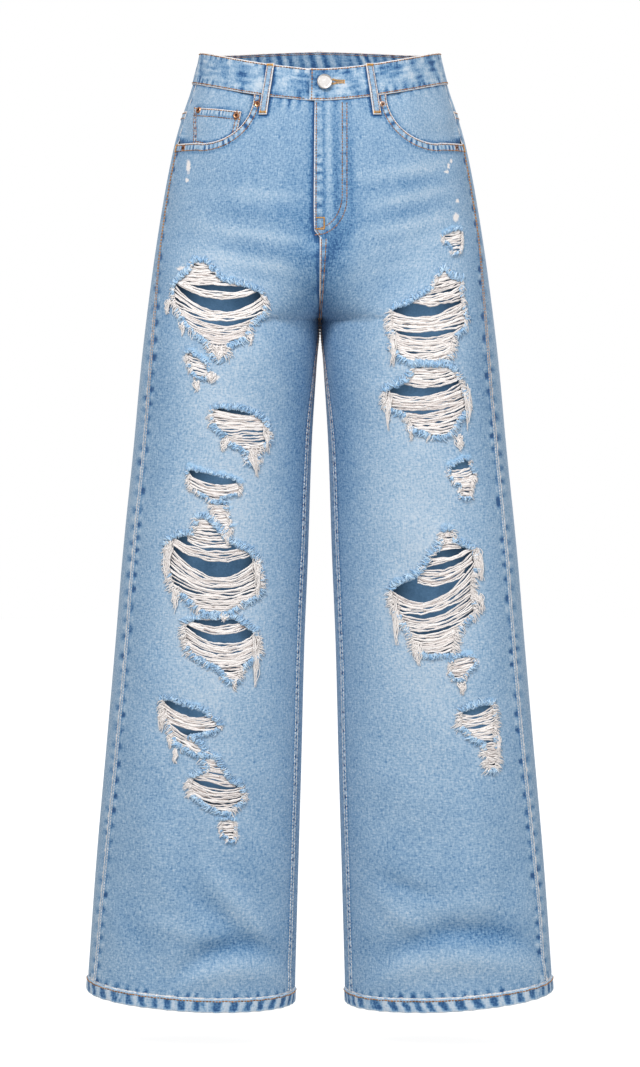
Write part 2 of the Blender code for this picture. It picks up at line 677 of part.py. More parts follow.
def front_panel(side):
    label = "left" if side > 0 else "right"
    mouth = [(u_at(x, z), z) for x, z in mouth_points()]
    corner = outseam_u(MOUTH_END_Z)
    level = [(u, MOUTH_END_Z) for u in steps(corner, mouth[-1][0], U_STEP / 2)[:-1]]
    start = mouth_start()
    centre = centre_front(side)
    waist = [(u, float(waist_seam(1, u))) for u in steps(start[0], centre[0][0], U_STEP)]
    inseam = inseam_points(-1)
    hem = hem_seam_points(inseam[-1][0], outseam_u(HEM_OUTER))
    outseam = outseam_points(1, hem[-1][1], MOUTH_END_Z)
    outline = [*level, *mouth[::-1], *waist, *centre[1:], *inseam, *hem[1:-1], *outseam[:-1]]
    grid = grid_points(0.2, 0.9, TRUNK_ROWS + [CROTCH] + LEG_ROWS)
    holes = [rip_outline(rip) for rip in rips_of(side).values()]
    sheet = cloth("front_" + label, side, 1, outline, holes, grid=grid, sink=fly_depth if side < 0 else None)
    for place, x, z in (("top", 69.5 * MM, -46 * MM), ("side", 153 * MM, -92 * MM)):
        rivet(f"rivet_{place}_{label}", *on_sheet(sheet, u_at(x, z), z, SEAM_GAP))


def yoke_seam(u):
    return YOKE_SIDE + (YOKE_BACK - YOKE_SIDE) * max(u, 0)


def back_pocket_loop():
    """A patch pocket with a pointed foot, its top a little lower towards the centre."""
    half, low = POCKET_WIDTH / 2 / ARC, POCKET_TOP - POCKET_DEPTH
    narrow = 0.88 * half
    corners = [
        (POCKET_U - half, POCKET_TOP), (POCKET_U + half, POCKET_TOP - 4 * MM),
        (POCKET_U + narrow, low + POCKET_POINT), (POCKET_U, low), (POCKET_U - narrow, low + POCKET_POINT),
    ]
    loop = []
    for (ua, za), (ub, zb) in zip(corners, corners[1:] + corners[:1]):
        loop += [(ua + (ub - ua) * i / 4, za + (zb - za) * i / 4) for i in range(4)]
    return loop


def back_panel(side):
    top = outseam_u(YOKE_SIDE)
    seam = [(u, yoke_seam(u)) for u in steps(-top, 1.0, U_STEP)]
    centre = [(1.0, z) for z in centre_heights(-1, YOKE_BACK)]
    inseam = inseam_points(1)
    hem = hem_seam_points(inseam[-1][0], -outseam_u(HEM_OUTER))
    outseam = outseam_points(-1, hem[-1][1], YOKE_SIDE)
    outline = [*seam, *centre, *inseam, *hem[1:-1], *outseam[:-1]]
    grid = grid_points(-0.1, 1.0, TRUNK_ROWS[1:] + [CROTCH] + LEG_ROWS)
    label = "left" if side > 0 else "right"
    pocket = back_pocket_loop()
    sheet = cloth("back_" + label, side, -1, outline, marks=[pocket], grid=grid)
    patch("back_pocket_" + label, sheet, pocket)


def yoke(side):
    top = outseam_u(YOKE_SIDE)
    lower = [(u, yoke_seam(u)) for u in steps(-top, 1.0, U_STEP)]
    upper = [(u, float(waist_seam(-1, u))) for u in steps(1.0, -top, U_STEP)]
    grid = grid_points(0.0, 0.9, [-40 * MM])
    cloth("yoke_left" if side > 0 else "yoke_right", side, -1, lower + upper, grid=grid)


def facing_depth(u, z):
    """How far the facing sinks near the pocket mouth, so as to pass under the front panel."""
    x = bare_point(1, 1, np.asarray(u), np.asarray(z))[..., 0]
    ring = np.hypot((x - MOUTH_X) / MOUTH_A, (z - MOUTH_Z) / MOUTH_B)
    below = smoothstep((-z - 60 * MM) / (22 * MM))
    return FACING_SETBACK * np.maximum(smoothstep((ring - 0.45) / 0.4), below)


def coin_pocket_loop():
    """The small pocket on the wearer's right facing, cut off just inside the mouth it goes under."""
    top = [(139.5 * MM, -47 * MM), (115 * MM, -50 * MM), (88 * MM, -53.5 * MM)]
    a, b = MOUTH_A - COIN_POCKET_INSET, MOUTH_B - COIN_POCKET_INSET
    turns = [math.radians(degrees) for degrees in (40, 52, 64, 76, 90)]
    under = [(MOUTH_X - a * math.cos(t), MOUTH_Z - b * math.sin(t)) for t in turns]
    corner = [(143 * MM, -84.5 * MM), (141 * MM, -65 * MM)]
    return [(u_at(x, z), z) for x, z in top + under + corner]


def pocket_facing(side):
    """The hip piece that shows in the pocket mouth, with the coin pocket on the wearer's right one."""
    under = [(u_at(x, z), z) for x, z in mouth_points(FACING_UNDER)]
    side_u = outseam_u(MOUTH_END_Z)
    first = u_at(MOUTH_X - MOUTH_A - FACING_UNDER + 1 * MM, -40 * MM)
    waist = [(u, float(waist_seam(1, u))) for u in steps(side_u, first, U_STEP)]
    foot = [(u, MOUTH_END_Z - FACING_UNDER) for u in steps(under[-1][0], side_u, U_STEP / 2)[1:]]
    outseam = [(outseam_u(z), z) for z in (-90 * MM, -60 * MM)]
    grid = [(u, z * MM) for z in (-45, -60, -75, -90) for u in (0.2, 0.25, 0.3, 0.35, 0.4, 0.45, 0.5, 0.55)]
    outline = [*waist, *under, *foot, *outseam]
    marks = [coin_pocket_loop()] if side < 0 else []
    name = "pocket_facing_left" if side > 0 else "pocket_facing_right"
    sheet = cloth(name, side, 1, outline, marks=marks, grid=grid, sink=facing_depth)
    if side > 0:
        return
    patch("coin_pocket", sheet, marks[0])
    for label, x, z in (("outer", 135 * MM, -51 * MM), ("inner", 93.5 * MM, -58 * MM)):
        rivet("rivet_coin_" + label, *on_sheet(sheet, u_at(x, z), z, LAYER_GAP + PATCH + SEAM_GAP))


def waistband():
    """One strip right round, closed at the front with the wearer's left end on top."""
    seams = [outseam_u(WAIST_SIDE), mouth_start()[0]]
    rings = [i * U_STEP for i in range(round(4 / U_STEP) + 1)]
    rings += [-BAND_LAP_U, 4 + BAND_UNDER_U / 2, 4 + BAND_UNDER_U]
    rings = sorted(rings + [1 - u for u in seams] + [3 + u for u in seams])
    columns_at = []
    for ring in rings:
        quarter = min(max(int(ring // 1), 0), 3)
        side = 1 if quarter in (0, 1) else -1
        face = 1 if quarter in (0, 3) else -1
        u = 1 - ring if quarter == 0 else ring - 1 if quarter == 1 else 3 - ring if quarter == 2 else ring - 3
        columns_at.append((side, face, u, smoothstep((ring - 3.86) / 0.08)))
    loop = []
    for side, face, u, under in columns_at:
        top = float(waist_top(face, min(u, 2 - u)))
        sunk = (DENIM + BAND_PROUD + LAYER_GAP + 0.2 * MM) * under
        heights = [top, top - BAND_HEIGHT / 2, top - BAND_HEIGHT + SEAM_GAP]
        outer = [surface(side, face, u, z, BAND_PROUD - sunk) for z in heights]
        inner = [surface(side, face, u, z, -DENIM - sunk) for z in heights]
        loop.append(outer + inner[::-1])
    size = len(loop[0])
    points = np.array(loop).reshape(-1, 3)
    faces = []
    for i in range(len(loop) - 1):
        for j in range(size):
            k = (j + 1) % size
            faces.append((i * size + j, i * size + k, (i + 1) * size + k, (i + 1) * size + j))
    last = (len(loop) - 1) * size
    faces.append(tuple(range(size)))
    faces.append(tuple(last + j for j in range(size)))
    add_object("waistband", points, faces, "denim")


def hem(side):
    """The turned-up hem at the foot of one leg, a closed ring."""
    turns = 28
    outer = [(1.0, HEM_PROUD), (0.5, HEM_PROUD + 0.4 * MM), (0.0, HEM_PROUD - 0.4 * MM)]
    profile = outer + [(0.0, -DENIM), (1.0, -DENIM)]
    points, size = [], len(profile)
    for i in range(turns):
        ring = 2 * i / turns
        face, u = (1, ring) if ring <= 1 else (-1, 2 - ring)
        foot = float(hem_line(u))
        for up, out in profile:
            points.append(surface(side, face, u, foot + up * (HEM_HEIGHT - SEAM_GAP), out))
    faces = []
    for i in range(turns):
        for j in range(size):
            k, n = (j + 1) % size, (i + 1) % turns
            faces.append((i * size + j, i * size + k, n * size + k, n * size + j))
    add_object("hem_left" if side > 0 else "hem_right", points, faces, "denim")


def belt_loop(name, side, face, top_u, foot_u):
    """A strip sewn down at the waistband's upper edge and below its seam."""
    half = LOOP_WIDTH / 2 / ARC
    top = float(waist_top(face, abs(top_u))) + LOOP_OVER
    foot = top - BAND_HEIGHT - LOOP_DROP
    rows = 6
    left = [(top_u - half + (foot_u - top_u) * i / rows, top + (foot - top) * i / rows) for i in range(rows + 1)]
    right = [(u + 2 * half, z) for u, z in left]
    cloth(name, side, face, left + right[::-1], top=BAND_PROUD + LAYER_GAP + PATCH, wall=PATCH)


def yarn_web(name, rip):
    """The yarns left across a rip, as one thin sheet with its slits open."""
    loop = inset(rip_outline(rip), TORN_EDGE_GAP)
    cloth("yarns_" + name, rip.side, 1, loop, holes=yarn_gaps(rip), top=-0.3 * MM, wall=YARN_WEB, look="yarn")


# ---------------------------------------------------------------- hardware

def turned(name, profile, foot, normal, look, segments):
    """A closed turned piece that stands on the cloth. profile is (radius, height) pairs, foot to crown."""
    shape = bmesh.new()
    rings = []
    for radius, height in profile:
        ring = []
        for i in range(segments):
            turn = 2 * math.pi * i / segments
            ring.append(shape.verts.new((radius * math.cos(turn), radius * math.sin(turn), height)))
        rings.append(ring)
    for low, high in zip(rings, rings[1:]):
        for i in range(segments):
            k = (i + 1) % segments
            shape.faces.new((low[i], low[k], high[k], high[i]))
    shape.faces.new(rings[0][::-1])
    shape.faces.new(rings[-1])
    mesh = bpy.data.meshes.new(name)
    shape.to_mesh(mesh)
    shape.free()
    mesh.shade_smooth()
    mesh.set_sharp_from_angle(angle=math.radians(40))
    made = bpy.data.objects.new(name, mesh)
    made.location = foot
    made.rotation_euler = normal.to_track_quat("Z", "Y").to_euler()
    made.data.materials.append(material(look))
    bpy.context.scene.collection.objects.link(made)


def waist_button():
    stand, thick, radius = BUTTON_STAND, BUTTON_THICK, BUTTON_RADIUS
    profile = [
        (BUTTON_SHANK, 0), (BUTTON_SHANK, stand), (radius - 0.6 * MM, stand), (radius, stand + 0.5 * MM),
        (radius, stand + thick - 0.6 * MM), (radius - 0.9 * MM, stand + thick),
        (radius - 2 * MM, stand + thick - 0.3 * MM),
    ]
    place = (1, 1, u_at(BUTTON_X, BUTTON_Z), BUTTON_Z)
    foot = Vector(surface(*place, BAND_PROUD + SEAM_GAP))
    normal = (Vector(surface(*place, 9 * MM)) - foot).normalized()
    turned("button", profile, foot, normal, "steel", 28)


def rivet(name, foot, normal):
    profile = [
        (RIVET_RADIUS, 0), (RIVET_RADIUS, 0.5 * RIVET_HEIGHT), (0.72 * RIVET_RADIUS, RIVET_HEIGHT),
        (0.36 * RIVET_RADIUS, 0.8 * RIVET_HEIGHT), (0.24 * RIVET_RADIUS, 1.15 * RIVET_HEIGHT),
    ]
    turned(name, profile, foot, normal, "copper", 16)


# ---------------------------------------------------------------- the garment

def main():
    for old in list(bpy.data.objects):
        bpy.data.objects.remove(old)
    for side in (-1, 1):
        front_panel(side)
        back_panel(side)
        yoke(side)
        pocket_facing(side)
        hem(side)
    waistband()
    belt_loop("loop_front_right", -1, 1, u_at(56 * MM, -20 * MM), u_at(63 * MM, -56 * MM))
    belt_loop("loop_front_left", 1, 1, u_at(56 * MM, -20 * MM), u_at(63 * MM, -56 * MM))
    belt_loop("loop_side_right", -1, -1, LOOP_SIDE_U, LOOP_SIDE_U)
    belt_loop("loop_side_left", 1, -1, LOOP_SIDE_U, LOOP_SIDE_U)
    belt_loop("loop_back", 1, -1, 1.0, 1.0)
    for name, rip in RIPS.items():
        yarn_web(name, rip)
    waist_button()


main()
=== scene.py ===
# %% [markdown]
# # Ripped wide-leg jeans
#
# Light-wash, wide-leg jeans with rips down both fronts, filled out as if somebody wore them. The packed
# solids give the garment's form, its pieces and their sizes. This lesson dresses them. Each cut of cloth
# becomes a thin shell of worn denim on the same form, each rip gets its loose white weft and its frayed
# blue warp, and each seam its thread.

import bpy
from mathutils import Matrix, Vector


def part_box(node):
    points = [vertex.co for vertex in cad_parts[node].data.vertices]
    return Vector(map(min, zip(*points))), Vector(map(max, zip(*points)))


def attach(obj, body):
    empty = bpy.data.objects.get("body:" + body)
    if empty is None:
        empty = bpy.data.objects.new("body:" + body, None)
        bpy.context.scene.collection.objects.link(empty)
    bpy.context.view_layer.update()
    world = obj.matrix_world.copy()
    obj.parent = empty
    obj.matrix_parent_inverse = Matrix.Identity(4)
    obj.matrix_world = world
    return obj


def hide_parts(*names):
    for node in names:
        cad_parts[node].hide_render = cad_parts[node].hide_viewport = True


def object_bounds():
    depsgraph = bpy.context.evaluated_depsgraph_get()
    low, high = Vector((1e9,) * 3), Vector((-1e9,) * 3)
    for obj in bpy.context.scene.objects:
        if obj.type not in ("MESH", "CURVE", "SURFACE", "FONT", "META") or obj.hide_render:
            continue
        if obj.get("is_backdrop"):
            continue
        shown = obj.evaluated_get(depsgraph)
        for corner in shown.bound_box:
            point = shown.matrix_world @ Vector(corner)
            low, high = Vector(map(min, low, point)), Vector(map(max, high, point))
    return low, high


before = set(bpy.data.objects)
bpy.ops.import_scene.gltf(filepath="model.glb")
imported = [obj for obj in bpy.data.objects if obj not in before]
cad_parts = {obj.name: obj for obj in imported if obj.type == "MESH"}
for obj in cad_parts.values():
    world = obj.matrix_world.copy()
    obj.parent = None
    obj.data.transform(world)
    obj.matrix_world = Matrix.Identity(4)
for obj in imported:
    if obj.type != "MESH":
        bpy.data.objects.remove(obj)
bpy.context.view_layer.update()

# %% Modules and units
import math
from collections import namedtuple

import bmesh
import bpy
import numpy as np
from mathutils import Vector
from mathutils.geometry import delaunay_2d_cdt
from mathutils.kdtree import KDTree

MM = 0.001
BODY = "root"
SIDES = {-1: "right", 1: "left"}  # the wearer's right lies at x below 0

# %% [markdown]
# ## The form
#
# A pattern cutter thinks in flat pieces, but a garment that is filled out has one outer surface. So every
# piece here is a part of that one surface. A place on it is (u, z): z is the height, and u runs round half
# of the front or back, from 0 at the side to 1 at the centre line or at the inner leg. The same formula
# shaped the solids, so a shell made with it lies on them without any fitting. Lofting curves would also do,
# but a formula can be asked for any point.

# %% The form's tables, in millimetres
Section = namedtuple("Section", "z outer inner side_y inner_y front back")
SECTIONS = [
    Section(20, 134.5, 0.15, 4, 4, 93, 99),
    Section(-20, 144.5, 0.15, 4, 4, 98, 105),
    Section(-50, 154.5, 0.15, 4, 4, 102, 113),
    Section(-90, 166.0, 0.15, 4, 5, 106, 124),
    Section(-180, 183.0, 0.15, 6, 8, 110, 138),
    Section(-283, 197.5, 0.15, 6, 12, 108, 124),
    Section(-340, 204.0, 4.0, 4, 9, 104, 111),
    Section(-430, 212.5, 9.5, 2, 4, 96, 98),
    Section(-550, 225.0, 13.5, 0, 1, 87, 87),
    Section(-660, 234.5, 18.0, 0, 1, 81, 81),
    Section(-780, 245.5, 21.0, 2, 2, 76, 77),
    Section(-900, 256.5, 24.5, 4, 4, 72, 74),
    Section(-1060, 268.5, 29.0, 6, 6, 70, 73),
]
Seam = namedtuple("Seam", "z out_u in_u")
SEAMS = [
    Seam(20, 0.15, 0.0), Seam(-283, 0.15, 0.0), Seam(-330, 0.155, 0.05),
    Seam(-430, 0.16, 0.095), Seam(-660, 0.16, 0.095), Seam(-1060, 0.115, 0.095),
]
WAIST_SIDE, WAIST_FRONT, WAIST_BACK = 17 * MM, -7 * MM, 27 * MM
BAND_HEIGHT = 36 * MM
CROTCH = -283 * MM
HEM_OUTER, HEM_INNER, HEM_DIP, HEM_HEIGHT = -1053 * MM, -1067 * MM, 7 * MM, 16 * MM
FRONT_CURVE_TOP, BACK_CURVE_TOP = -205 * MM, -160 * MM
THIGHS_START, THIGHS_DONE = -150 * MM, -330 * MM
ARC = 0.27  # metres of cloth from u = 0 to u = 1


# %% A smooth curve through a table, with no swing past its values
def table_curve(heights, values):
    x, y = np.array(heights, float)[::-1], np.array(values, float)[::-1]
    secant = np.diff(y) / np.diff(x)
    before, after = secant[:-1], secant[1:]
    both = before * after
    inner = np.where(both > 0, 2 * both / np.where(both > 0, before + after, 1), 0.0)
    slope = np.concatenate([secant[:1], inner, secant[-1:]])

    def at(z):
        z = np.asarray(z, float)
        inside = np.clip(z, x[0], x[-1])
        i = np.clip(np.searchsorted(x, inside) - 1, 0, len(x) - 2)
        width = x[i + 1] - x[i]
        t = (inside - x[i]) / width
        start = (2 * t**3 - 3 * t**2 + 1) * y[i] + (t**3 - 2 * t**2 + t) * width * slope[i]
        end = (3 * t**2 - 2 * t**3) * y[i + 1] + (t**3 - t**2) * width * slope[i + 1]
        return start + end + (z - inside) * np.where(z < x[0], slope[0], slope[-1])

    return at


def columns(table):
    heights = [row.z * MM for row in table]
    names = table[0]._fields[1:]
    return {name: table_curve(heights, [getattr(row, name) for row in table]) for name in names}


SHAPE, SEAM_LINES = columns(SECTIONS), columns(SEAMS)
print("half width at the hip and the hem, mm:", float(SHAPE["outer"](-0.18)), float(SHAPE["outer"](-1.05)))


# %% From (u, z) to a point
def smoothstep(t):
    t = np.clip(t, 0, 1)
    return t * t * (3 - 2 * t)


def centre_reach(face, z):
    top = np.where(face > 0, FRONT_CURVE_TOP, BACK_CURVE_TOP)
    return np.sqrt(1 - np.clip((top - z) / (top - CROTCH), 0, 1) ** 2)


def wrapped(side, face, u, z):
    side, face, u, z = np.broadcast_arrays(side, face, np.asarray(u, float), np.asarray(z, float))
    past_centre = (u > 1) & (z >= CROTCH)
    past_leg = (u > 1) & (z < CROTCH)
    new_side = np.where(past_centre, -side, side)
    new_face = np.where((u < 0) | past_leg, -face, face)
    return new_side, new_face, np.where(u < 0, -u, np.where(u > 1, 2 - u, u)), z


def bare_point(side, face, u, z):
    thigh = smoothstep((THIGHS_START - z) / (THIGHS_START - THIGHS_DONE))
    trunk_turn, leg_turn = u * math.pi / 2, u * math.pi
    across = (1 - thigh) * (1 - np.cos(trunk_turn)) + thigh * (1 - np.cos(leg_turn)) / 2
    reach = (1 - thigh) * np.sin(trunk_turn) + thigh * np.sin(leg_turn)
    edge = np.where(z > CROTCH, centre_reach(face, z), 0.0)
    reach = reach + (edge - (1 - thigh)) * np.where(u > 0.5, 1 - np.sin(leg_turn), 0)
    depth = np.where(face > 0, SHAPE["front"](z), SHAPE["back"](z)) * MM
    outer, inner = SHAPE["outer"](z) * MM, SHAPE["inner"](z) * MM
    middle = (SHAPE["side_y"](z) * (1 - across) + SHAPE["inner_y"](z) * across) * MM
    x = side * (outer + (inner - outer) * across)
    return np.stack([x, middle - face * depth * reach, z + 0 * u], axis=-1)


def u_at(x, z, face=1):
    """u of the place on one face that is x to the side at height z, found by halving."""
    x, z = np.broadcast_arrays(np.asarray(x, float), np.asarray(z, float))
    low, high = np.zeros(x.shape), np.ones(x.shape)
    for _ in range(26):
        middle = (low + high) / 2
        wide = bare_point(np.ones(x.shape), np.full(x.shape, face), middle, z)[..., 0] > x
        low, high = np.where(wide, middle, low), np.where(wide, high, middle)
    return (low + high) / 2


# %% [markdown]
# ## Folds and creases
#
# Denim this heavy hangs in a few long, soft folds, and breaks into short creases where the leg bends and
# over the hem. A cloth simulation would need a wearer to fall on, and there is none. So the folds are
# placed one by one as troughs and ridges, each with its own middle, direction, length, width and height. The
# first table repeats the solids' folds, but for those over the front foot. The second adds finer creases,
# which differ from leg to leg.

# %% Folds that the solids have too, on both legs
Fold = namedtuple("Fold", "face u z tilt length width height")
FOLDS = [Fold(*row) for row in [
    (1, 0.40, -880, 80, 150, 32, 3.5), (1, 0.80, -560, 86, 190, 30, -3.0), (1, 0.30, -660, 88, 200, 34, 3.0),
    (-1, 0.62, -905, 62, 120, 30, -5.0), (-1, 0.36, -960, -58, 100, 28, 4.0),
    (-1, 0.60, -560, 24, 80, 24, -4.0), (-1, 0.66, -330, 34, 85, 20, -5.0),
    (-1, 0.45, -720, 86, 180, 34, 3.0),
]]

# %% Finer creases: x is the distance from the centre plane, tilt is level at 0, bow bends the middle up
Crease = namedtuple("Crease", "side face x z tilt length width height bow")
CREASES = [Crease(*row) for row in [
    (-1, 1, 99, -994, -10, 56, 14, -6.5, 30), (-1, 1, 104, -1021, -4, 66, 13, 2.4, 24),
    (-1, 1, 93, -946, 54, 72, 11, 4.2, 0), (-1, 1, 118, -956, 50, 36, 10, -3.4, 0),
    (-1, 1, 150, -976, 20, 40, 11, 1.8, 0), (-1, 1, 205, -985, 62, 60, 14, -1.4, 0),
    (-1, 1, 180, -900, 72, 90, 15, 1.4, 0), (-1, 1, 136, -904, 72, 44, 12, -1.8, 0),
    (1, 1, 162, -976, 3, 88, 13, -6.0, 42), (1, 1, 158, -1008, 3, 88, 14, 2.6, 34),
    (1, 1, 160, -944, 4, 84, 14, 1.8, 28), (1, 1, 98, -926, -22, 26, 9, -2.4, 0),
    (1, 1, 92, -960, -42, 50, 12, 2.2, 0), (1, 1, 52, -1000, 30, 34, 12, -1.8, 0),
    (1, 1, 212, -935, 66, 70, 14, -1.4, 0), (1, 1, 176, -880, 82, 90, 16, 1.2, 0),
    (-1, 1, 36, -330, 52, 52, 10, -1.3, 0), (1, 1, 34, -322, -50, 50, 10, -1.3, 0),
    (-1, 1, 52, -350, 58, 60, 11, 1.0, 0), (1, 1, 52, -346, -56, 60, 11, 1.0, 0),
    (-1, 1, 62, -196, 8, 70, 7, 0.5, -6), (-1, 1, 66, -178, 8, 76, 7, -0.5, -6),
    (-1, 1, 70, -226, 10, 64, 8, 0.5, -6), (1, 1, 96, -118, 10, 64, 8, 0.6, -6),
    (1, 1, 100, -146, 12, 64, 8, 0.6, -6), (1, 1, 92, -184, 10, 66, 8, 0.5, -6),
    (-1, -1, 118, -318, -14, 66, 12, -2.4, -10), (-1, -1, 112, -346, -12, 70, 12, 2.0, -10),
    (-1, -1, 120, -560, 10, 74, 12, -2.6, 8), (-1, -1, 122, -592, 14, 70, 12, 2.2, 8),
    (-1, -1, 138, -626, -8, 66, 12, -2.0, 6), (-1, -1, 168, -980, 12, 62, 13, -2.2, 10),
    (-1, -1, 96, -940, -44, 66, 13, -1.8, 0), (1, -1, 112, -326, 16, 66, 12, -2.4, -10),
    (1, -1, 108, -356, 12, 64, 12, 1.9, -10), (1, -1, 122, -548, -12, 70, 12, -2.6, 8),
    (1, -1, 118, -580, -8, 76, 12, 2.3, 8), (1, -1, 132, -618, 12, 62, 12, -2.1, 6),
    (1, -1, 152, -972, -10, 66, 13, -2.2, 10), (1, -1, 92, -952, 46, 60, 13, -1.8, 0),
]]


def middles(rows):
    """Each row with its middle's distance across the cloth, in metres."""
    return [(row, float(u_at(row.x * MM, row.z * MM, row.face)) * ARC) for row in rows]


CREASE_MIDDLES = middles(CREASES)


def ridge_at(row, s, z, middle, bow=0.0):
    """How near each place is to a row's line, 1 on it: s and middle are metres across the cloth."""
    tilt = math.radians(row.tilt)
    across, up = middle - s, z - row.z * MM
    along = (across * math.cos(tilt) + up * math.sin(tilt)) / (row.length * MM)
    aside = (up * math.cos(tilt) - across * math.sin(tilt) + bow * MM * along**2) / (row.width * MM)
    return np.exp(-(along**2) - aside**2)


def crease_height(side, face, u, z):
    total = np.zeros(np.shape(u))
    for crease, middle in CREASE_MIDDLES:
        near = ridge_at(crease, u * ARC, z, middle, crease.bow)
        total += np.where((face == crease.face) & (side == crease.side), crease.height * MM * near, 0)
    return total


def fold_height(side, face, u, z):
    total = crease_height(side, face, u, z)
    for fold in FOLDS:
        near = ridge_at(fold, u * ARC, z, fold.u * ARC)
        total += np.where(face == fold.face, fold.height * MM * near, 0)
    return total * np.clip(np.sin(np.clip(u, 0, 1) * math.pi), 0, 1)


print(len(FOLDS), "folds and", len(CREASES), "creases")


# %% Smooth random waves, always the same for one seed
def waves(x, z, size, seed, count=9):
    """Gentle hills about size apart, from about -1 to 1."""
    rng = np.random.default_rng(seed)
    turn, phase = rng.uniform(0, 2 * math.pi, count), rng.uniform(0, 2 * math.pi, count)
    stretch = 2 * math.pi / size / rng.uniform(0.7, 1.5, count)
    total = sum(np.sin((x * math.cos(t) + z * math.sin(t)) * k + p) for t, p, k in zip(turn, phase, stretch))
    return total / math.sqrt(count * 0.9)


def surface(side, face, u, z, out=0.0):
    """Points of the form, moved out of it by a distance."""
    side, face, u, z = wrapped(side, face, u, z)
    step_u, step_z = 0.004, 0.8 * MM
    along_u = bare_point(side, face, u + step_u, z) - bare_point(side, face, u - step_u, z)
    along_z = bare_point(side, face, u, z + step_z) - bare_point(side, face, u, z - step_z)
    normal = np.cross(along_u, along_z) * (-side * face)[..., None]
    normal /= np.linalg.norm(normal, axis=-1, keepdims=True)
    soft = waves(side * u * ARC + 3 * face, z, 95 * MM, 5) * 0.5 * MM * np.clip(np.sin(u * math.pi), 0, 1)
    return bare_point(side, face, u, z) + normal * (fold_height(side, face, u, z) + soft + out)[..., None]


# %% Seam lines on the form
def waist_top(face, u):
    in_front = (face > 0) == (np.asarray(u) >= 0)
    centre = np.where(in_front, WAIST_FRONT, WAIST_BACK)
    return centre + (WAIST_SIDE - centre) * np.abs(np.cos(np.asarray(u) * math.pi / 2)) ** 1.6


def waist_seam(face, u):
    return waist_top(face, u) - BAND_HEIGHT


def hem_line(u):
    turn = np.asarray(u) * math.pi
    return HEM_OUTER + (HEM_INNER - HEM_OUTER) * (1 - np.cos(turn)) / 2 - HEM_DIP * np.abs(np.sin(turn))


def out_u(z):
    return SEAM_LINES["out_u"](z)


def in_u(z):
    return np.where(np.asarray(z) < CROTCH, SEAM_LINES["in_u"](z), 0.0)


# %% [markdown]
# ## Node helpers and finishes
#
# One denim has to serve every panel, so its colour can't be painted for each. The mesh carries what differs
# from place to place as plain numbers: tone (paler above 0, darker below; it holds the dye's fades and also
# painted shade), cream (worn down to the white weft) and fluff (frayed warp). The shader turns these and a
# woven grain into colour, roughness and height.

# %% Small helpers to build node trees
def node(tree, kind, inputs=(), **settings):
    made = tree.nodes.new(kind)
    for name, value in settings.items():
        setattr(made, name, value)
    for key, value in dict(inputs).items():
        socket = made.inputs[key]
        if isinstance(value, bpy.types.NodeSocket):
            tree.links.new(value, socket)
        else:
            socket.default_value = value
    return made


def maths(tree, operation, a, b=0.0, c=0.0, clamp=False):
    return node(tree, "ShaderNodeMath", {0: a, 1: b, 2: c}, operation=operation, use_clamp=clamp).outputs[0]


def new_group(name, inputs, outputs, kind="ShaderNodeTree"):
    """A node group with named sockets. Inputs are name: (type, default), and outputs are name: type."""
    tree = bpy.data.node_groups.new(name, kind)
    for label, (socket_type, default) in inputs.items():
        socket = tree.interface.new_socket(label, in_out="INPUT", socket_type="NodeSocket" + socket_type)
        if default is not None:
            socket.default_value = default
    for label, socket_type in outputs.items():
        tree.interface.new_socket(label, in_out="OUTPUT", socket_type="NodeSocket" + socket_type)
    return tree, tree.nodes.new("NodeGroupInput"), tree.nodes.new("NodeGroupOutput")


def noise(tree, vector, scale, detail=2.0, roughness=0.55):
    """Noise whose cells are 1 / scale metres across, along each axis of the cloth."""
    sized = node(tree, "ShaderNodeVectorMath", {0: vector, 1: scale}, operation="MULTIPLY").outputs[0]
    return node(tree, "ShaderNodeTexNoise", {
        "Vector": sized, "Scale": 1.0, "Detail": detail, "Roughness": roughness,
    }).outputs["Fac"]


# %% Shared effect: woven grain, with slubs down the cloth and fine twill across it
def woven_grain():
    inputs = {"Vector": ("Vector", None), "Twill Pitch": ("Float", 0.0011)}
    tree, source, result = new_group("woven_grain", inputs, {"Grain": "Float", "Height": "Float"})
    place = source.outputs["Vector"]
    slubs = noise(tree, place, (600, 140, 1), 3.0, 0.7)
    picks = noise(tree, place, (210, 640, 1), 2.0, 0.6)
    specks = noise(tree, place, (430, 380, 1), 2.0, 0.7)
    parts = node(tree, "ShaderNodeSeparateXYZ", {0: place})
    slant = maths(tree, "ADD", parts.outputs[0], maths(tree, "MULTIPLY", parts.outputs[1], 0.62))
    turn = maths(tree, "DIVIDE", maths(tree, "MULTIPLY", slant, 2 * math.pi), source.outputs["Twill Pitch"])
    twill = maths(tree, "MULTIPLY_ADD", maths(tree, "SINE", turn), 0.5, 0.5)
    mixed = maths(tree, "MULTIPLY_ADD", picks, 0.75, slubs)
    mixed = maths(tree, "MULTIPLY_ADD", specks, 1.1, mixed)
    grain = maths(tree, "SUBTRACT", mixed, 1.425)
    tree.links.new(grain, result.inputs["Grain"])
    height = maths(tree, "MULTIPLY_ADD", twill, 0.45, mixed)
    tree.links.new(height, result.inputs["Height"])
    return tree


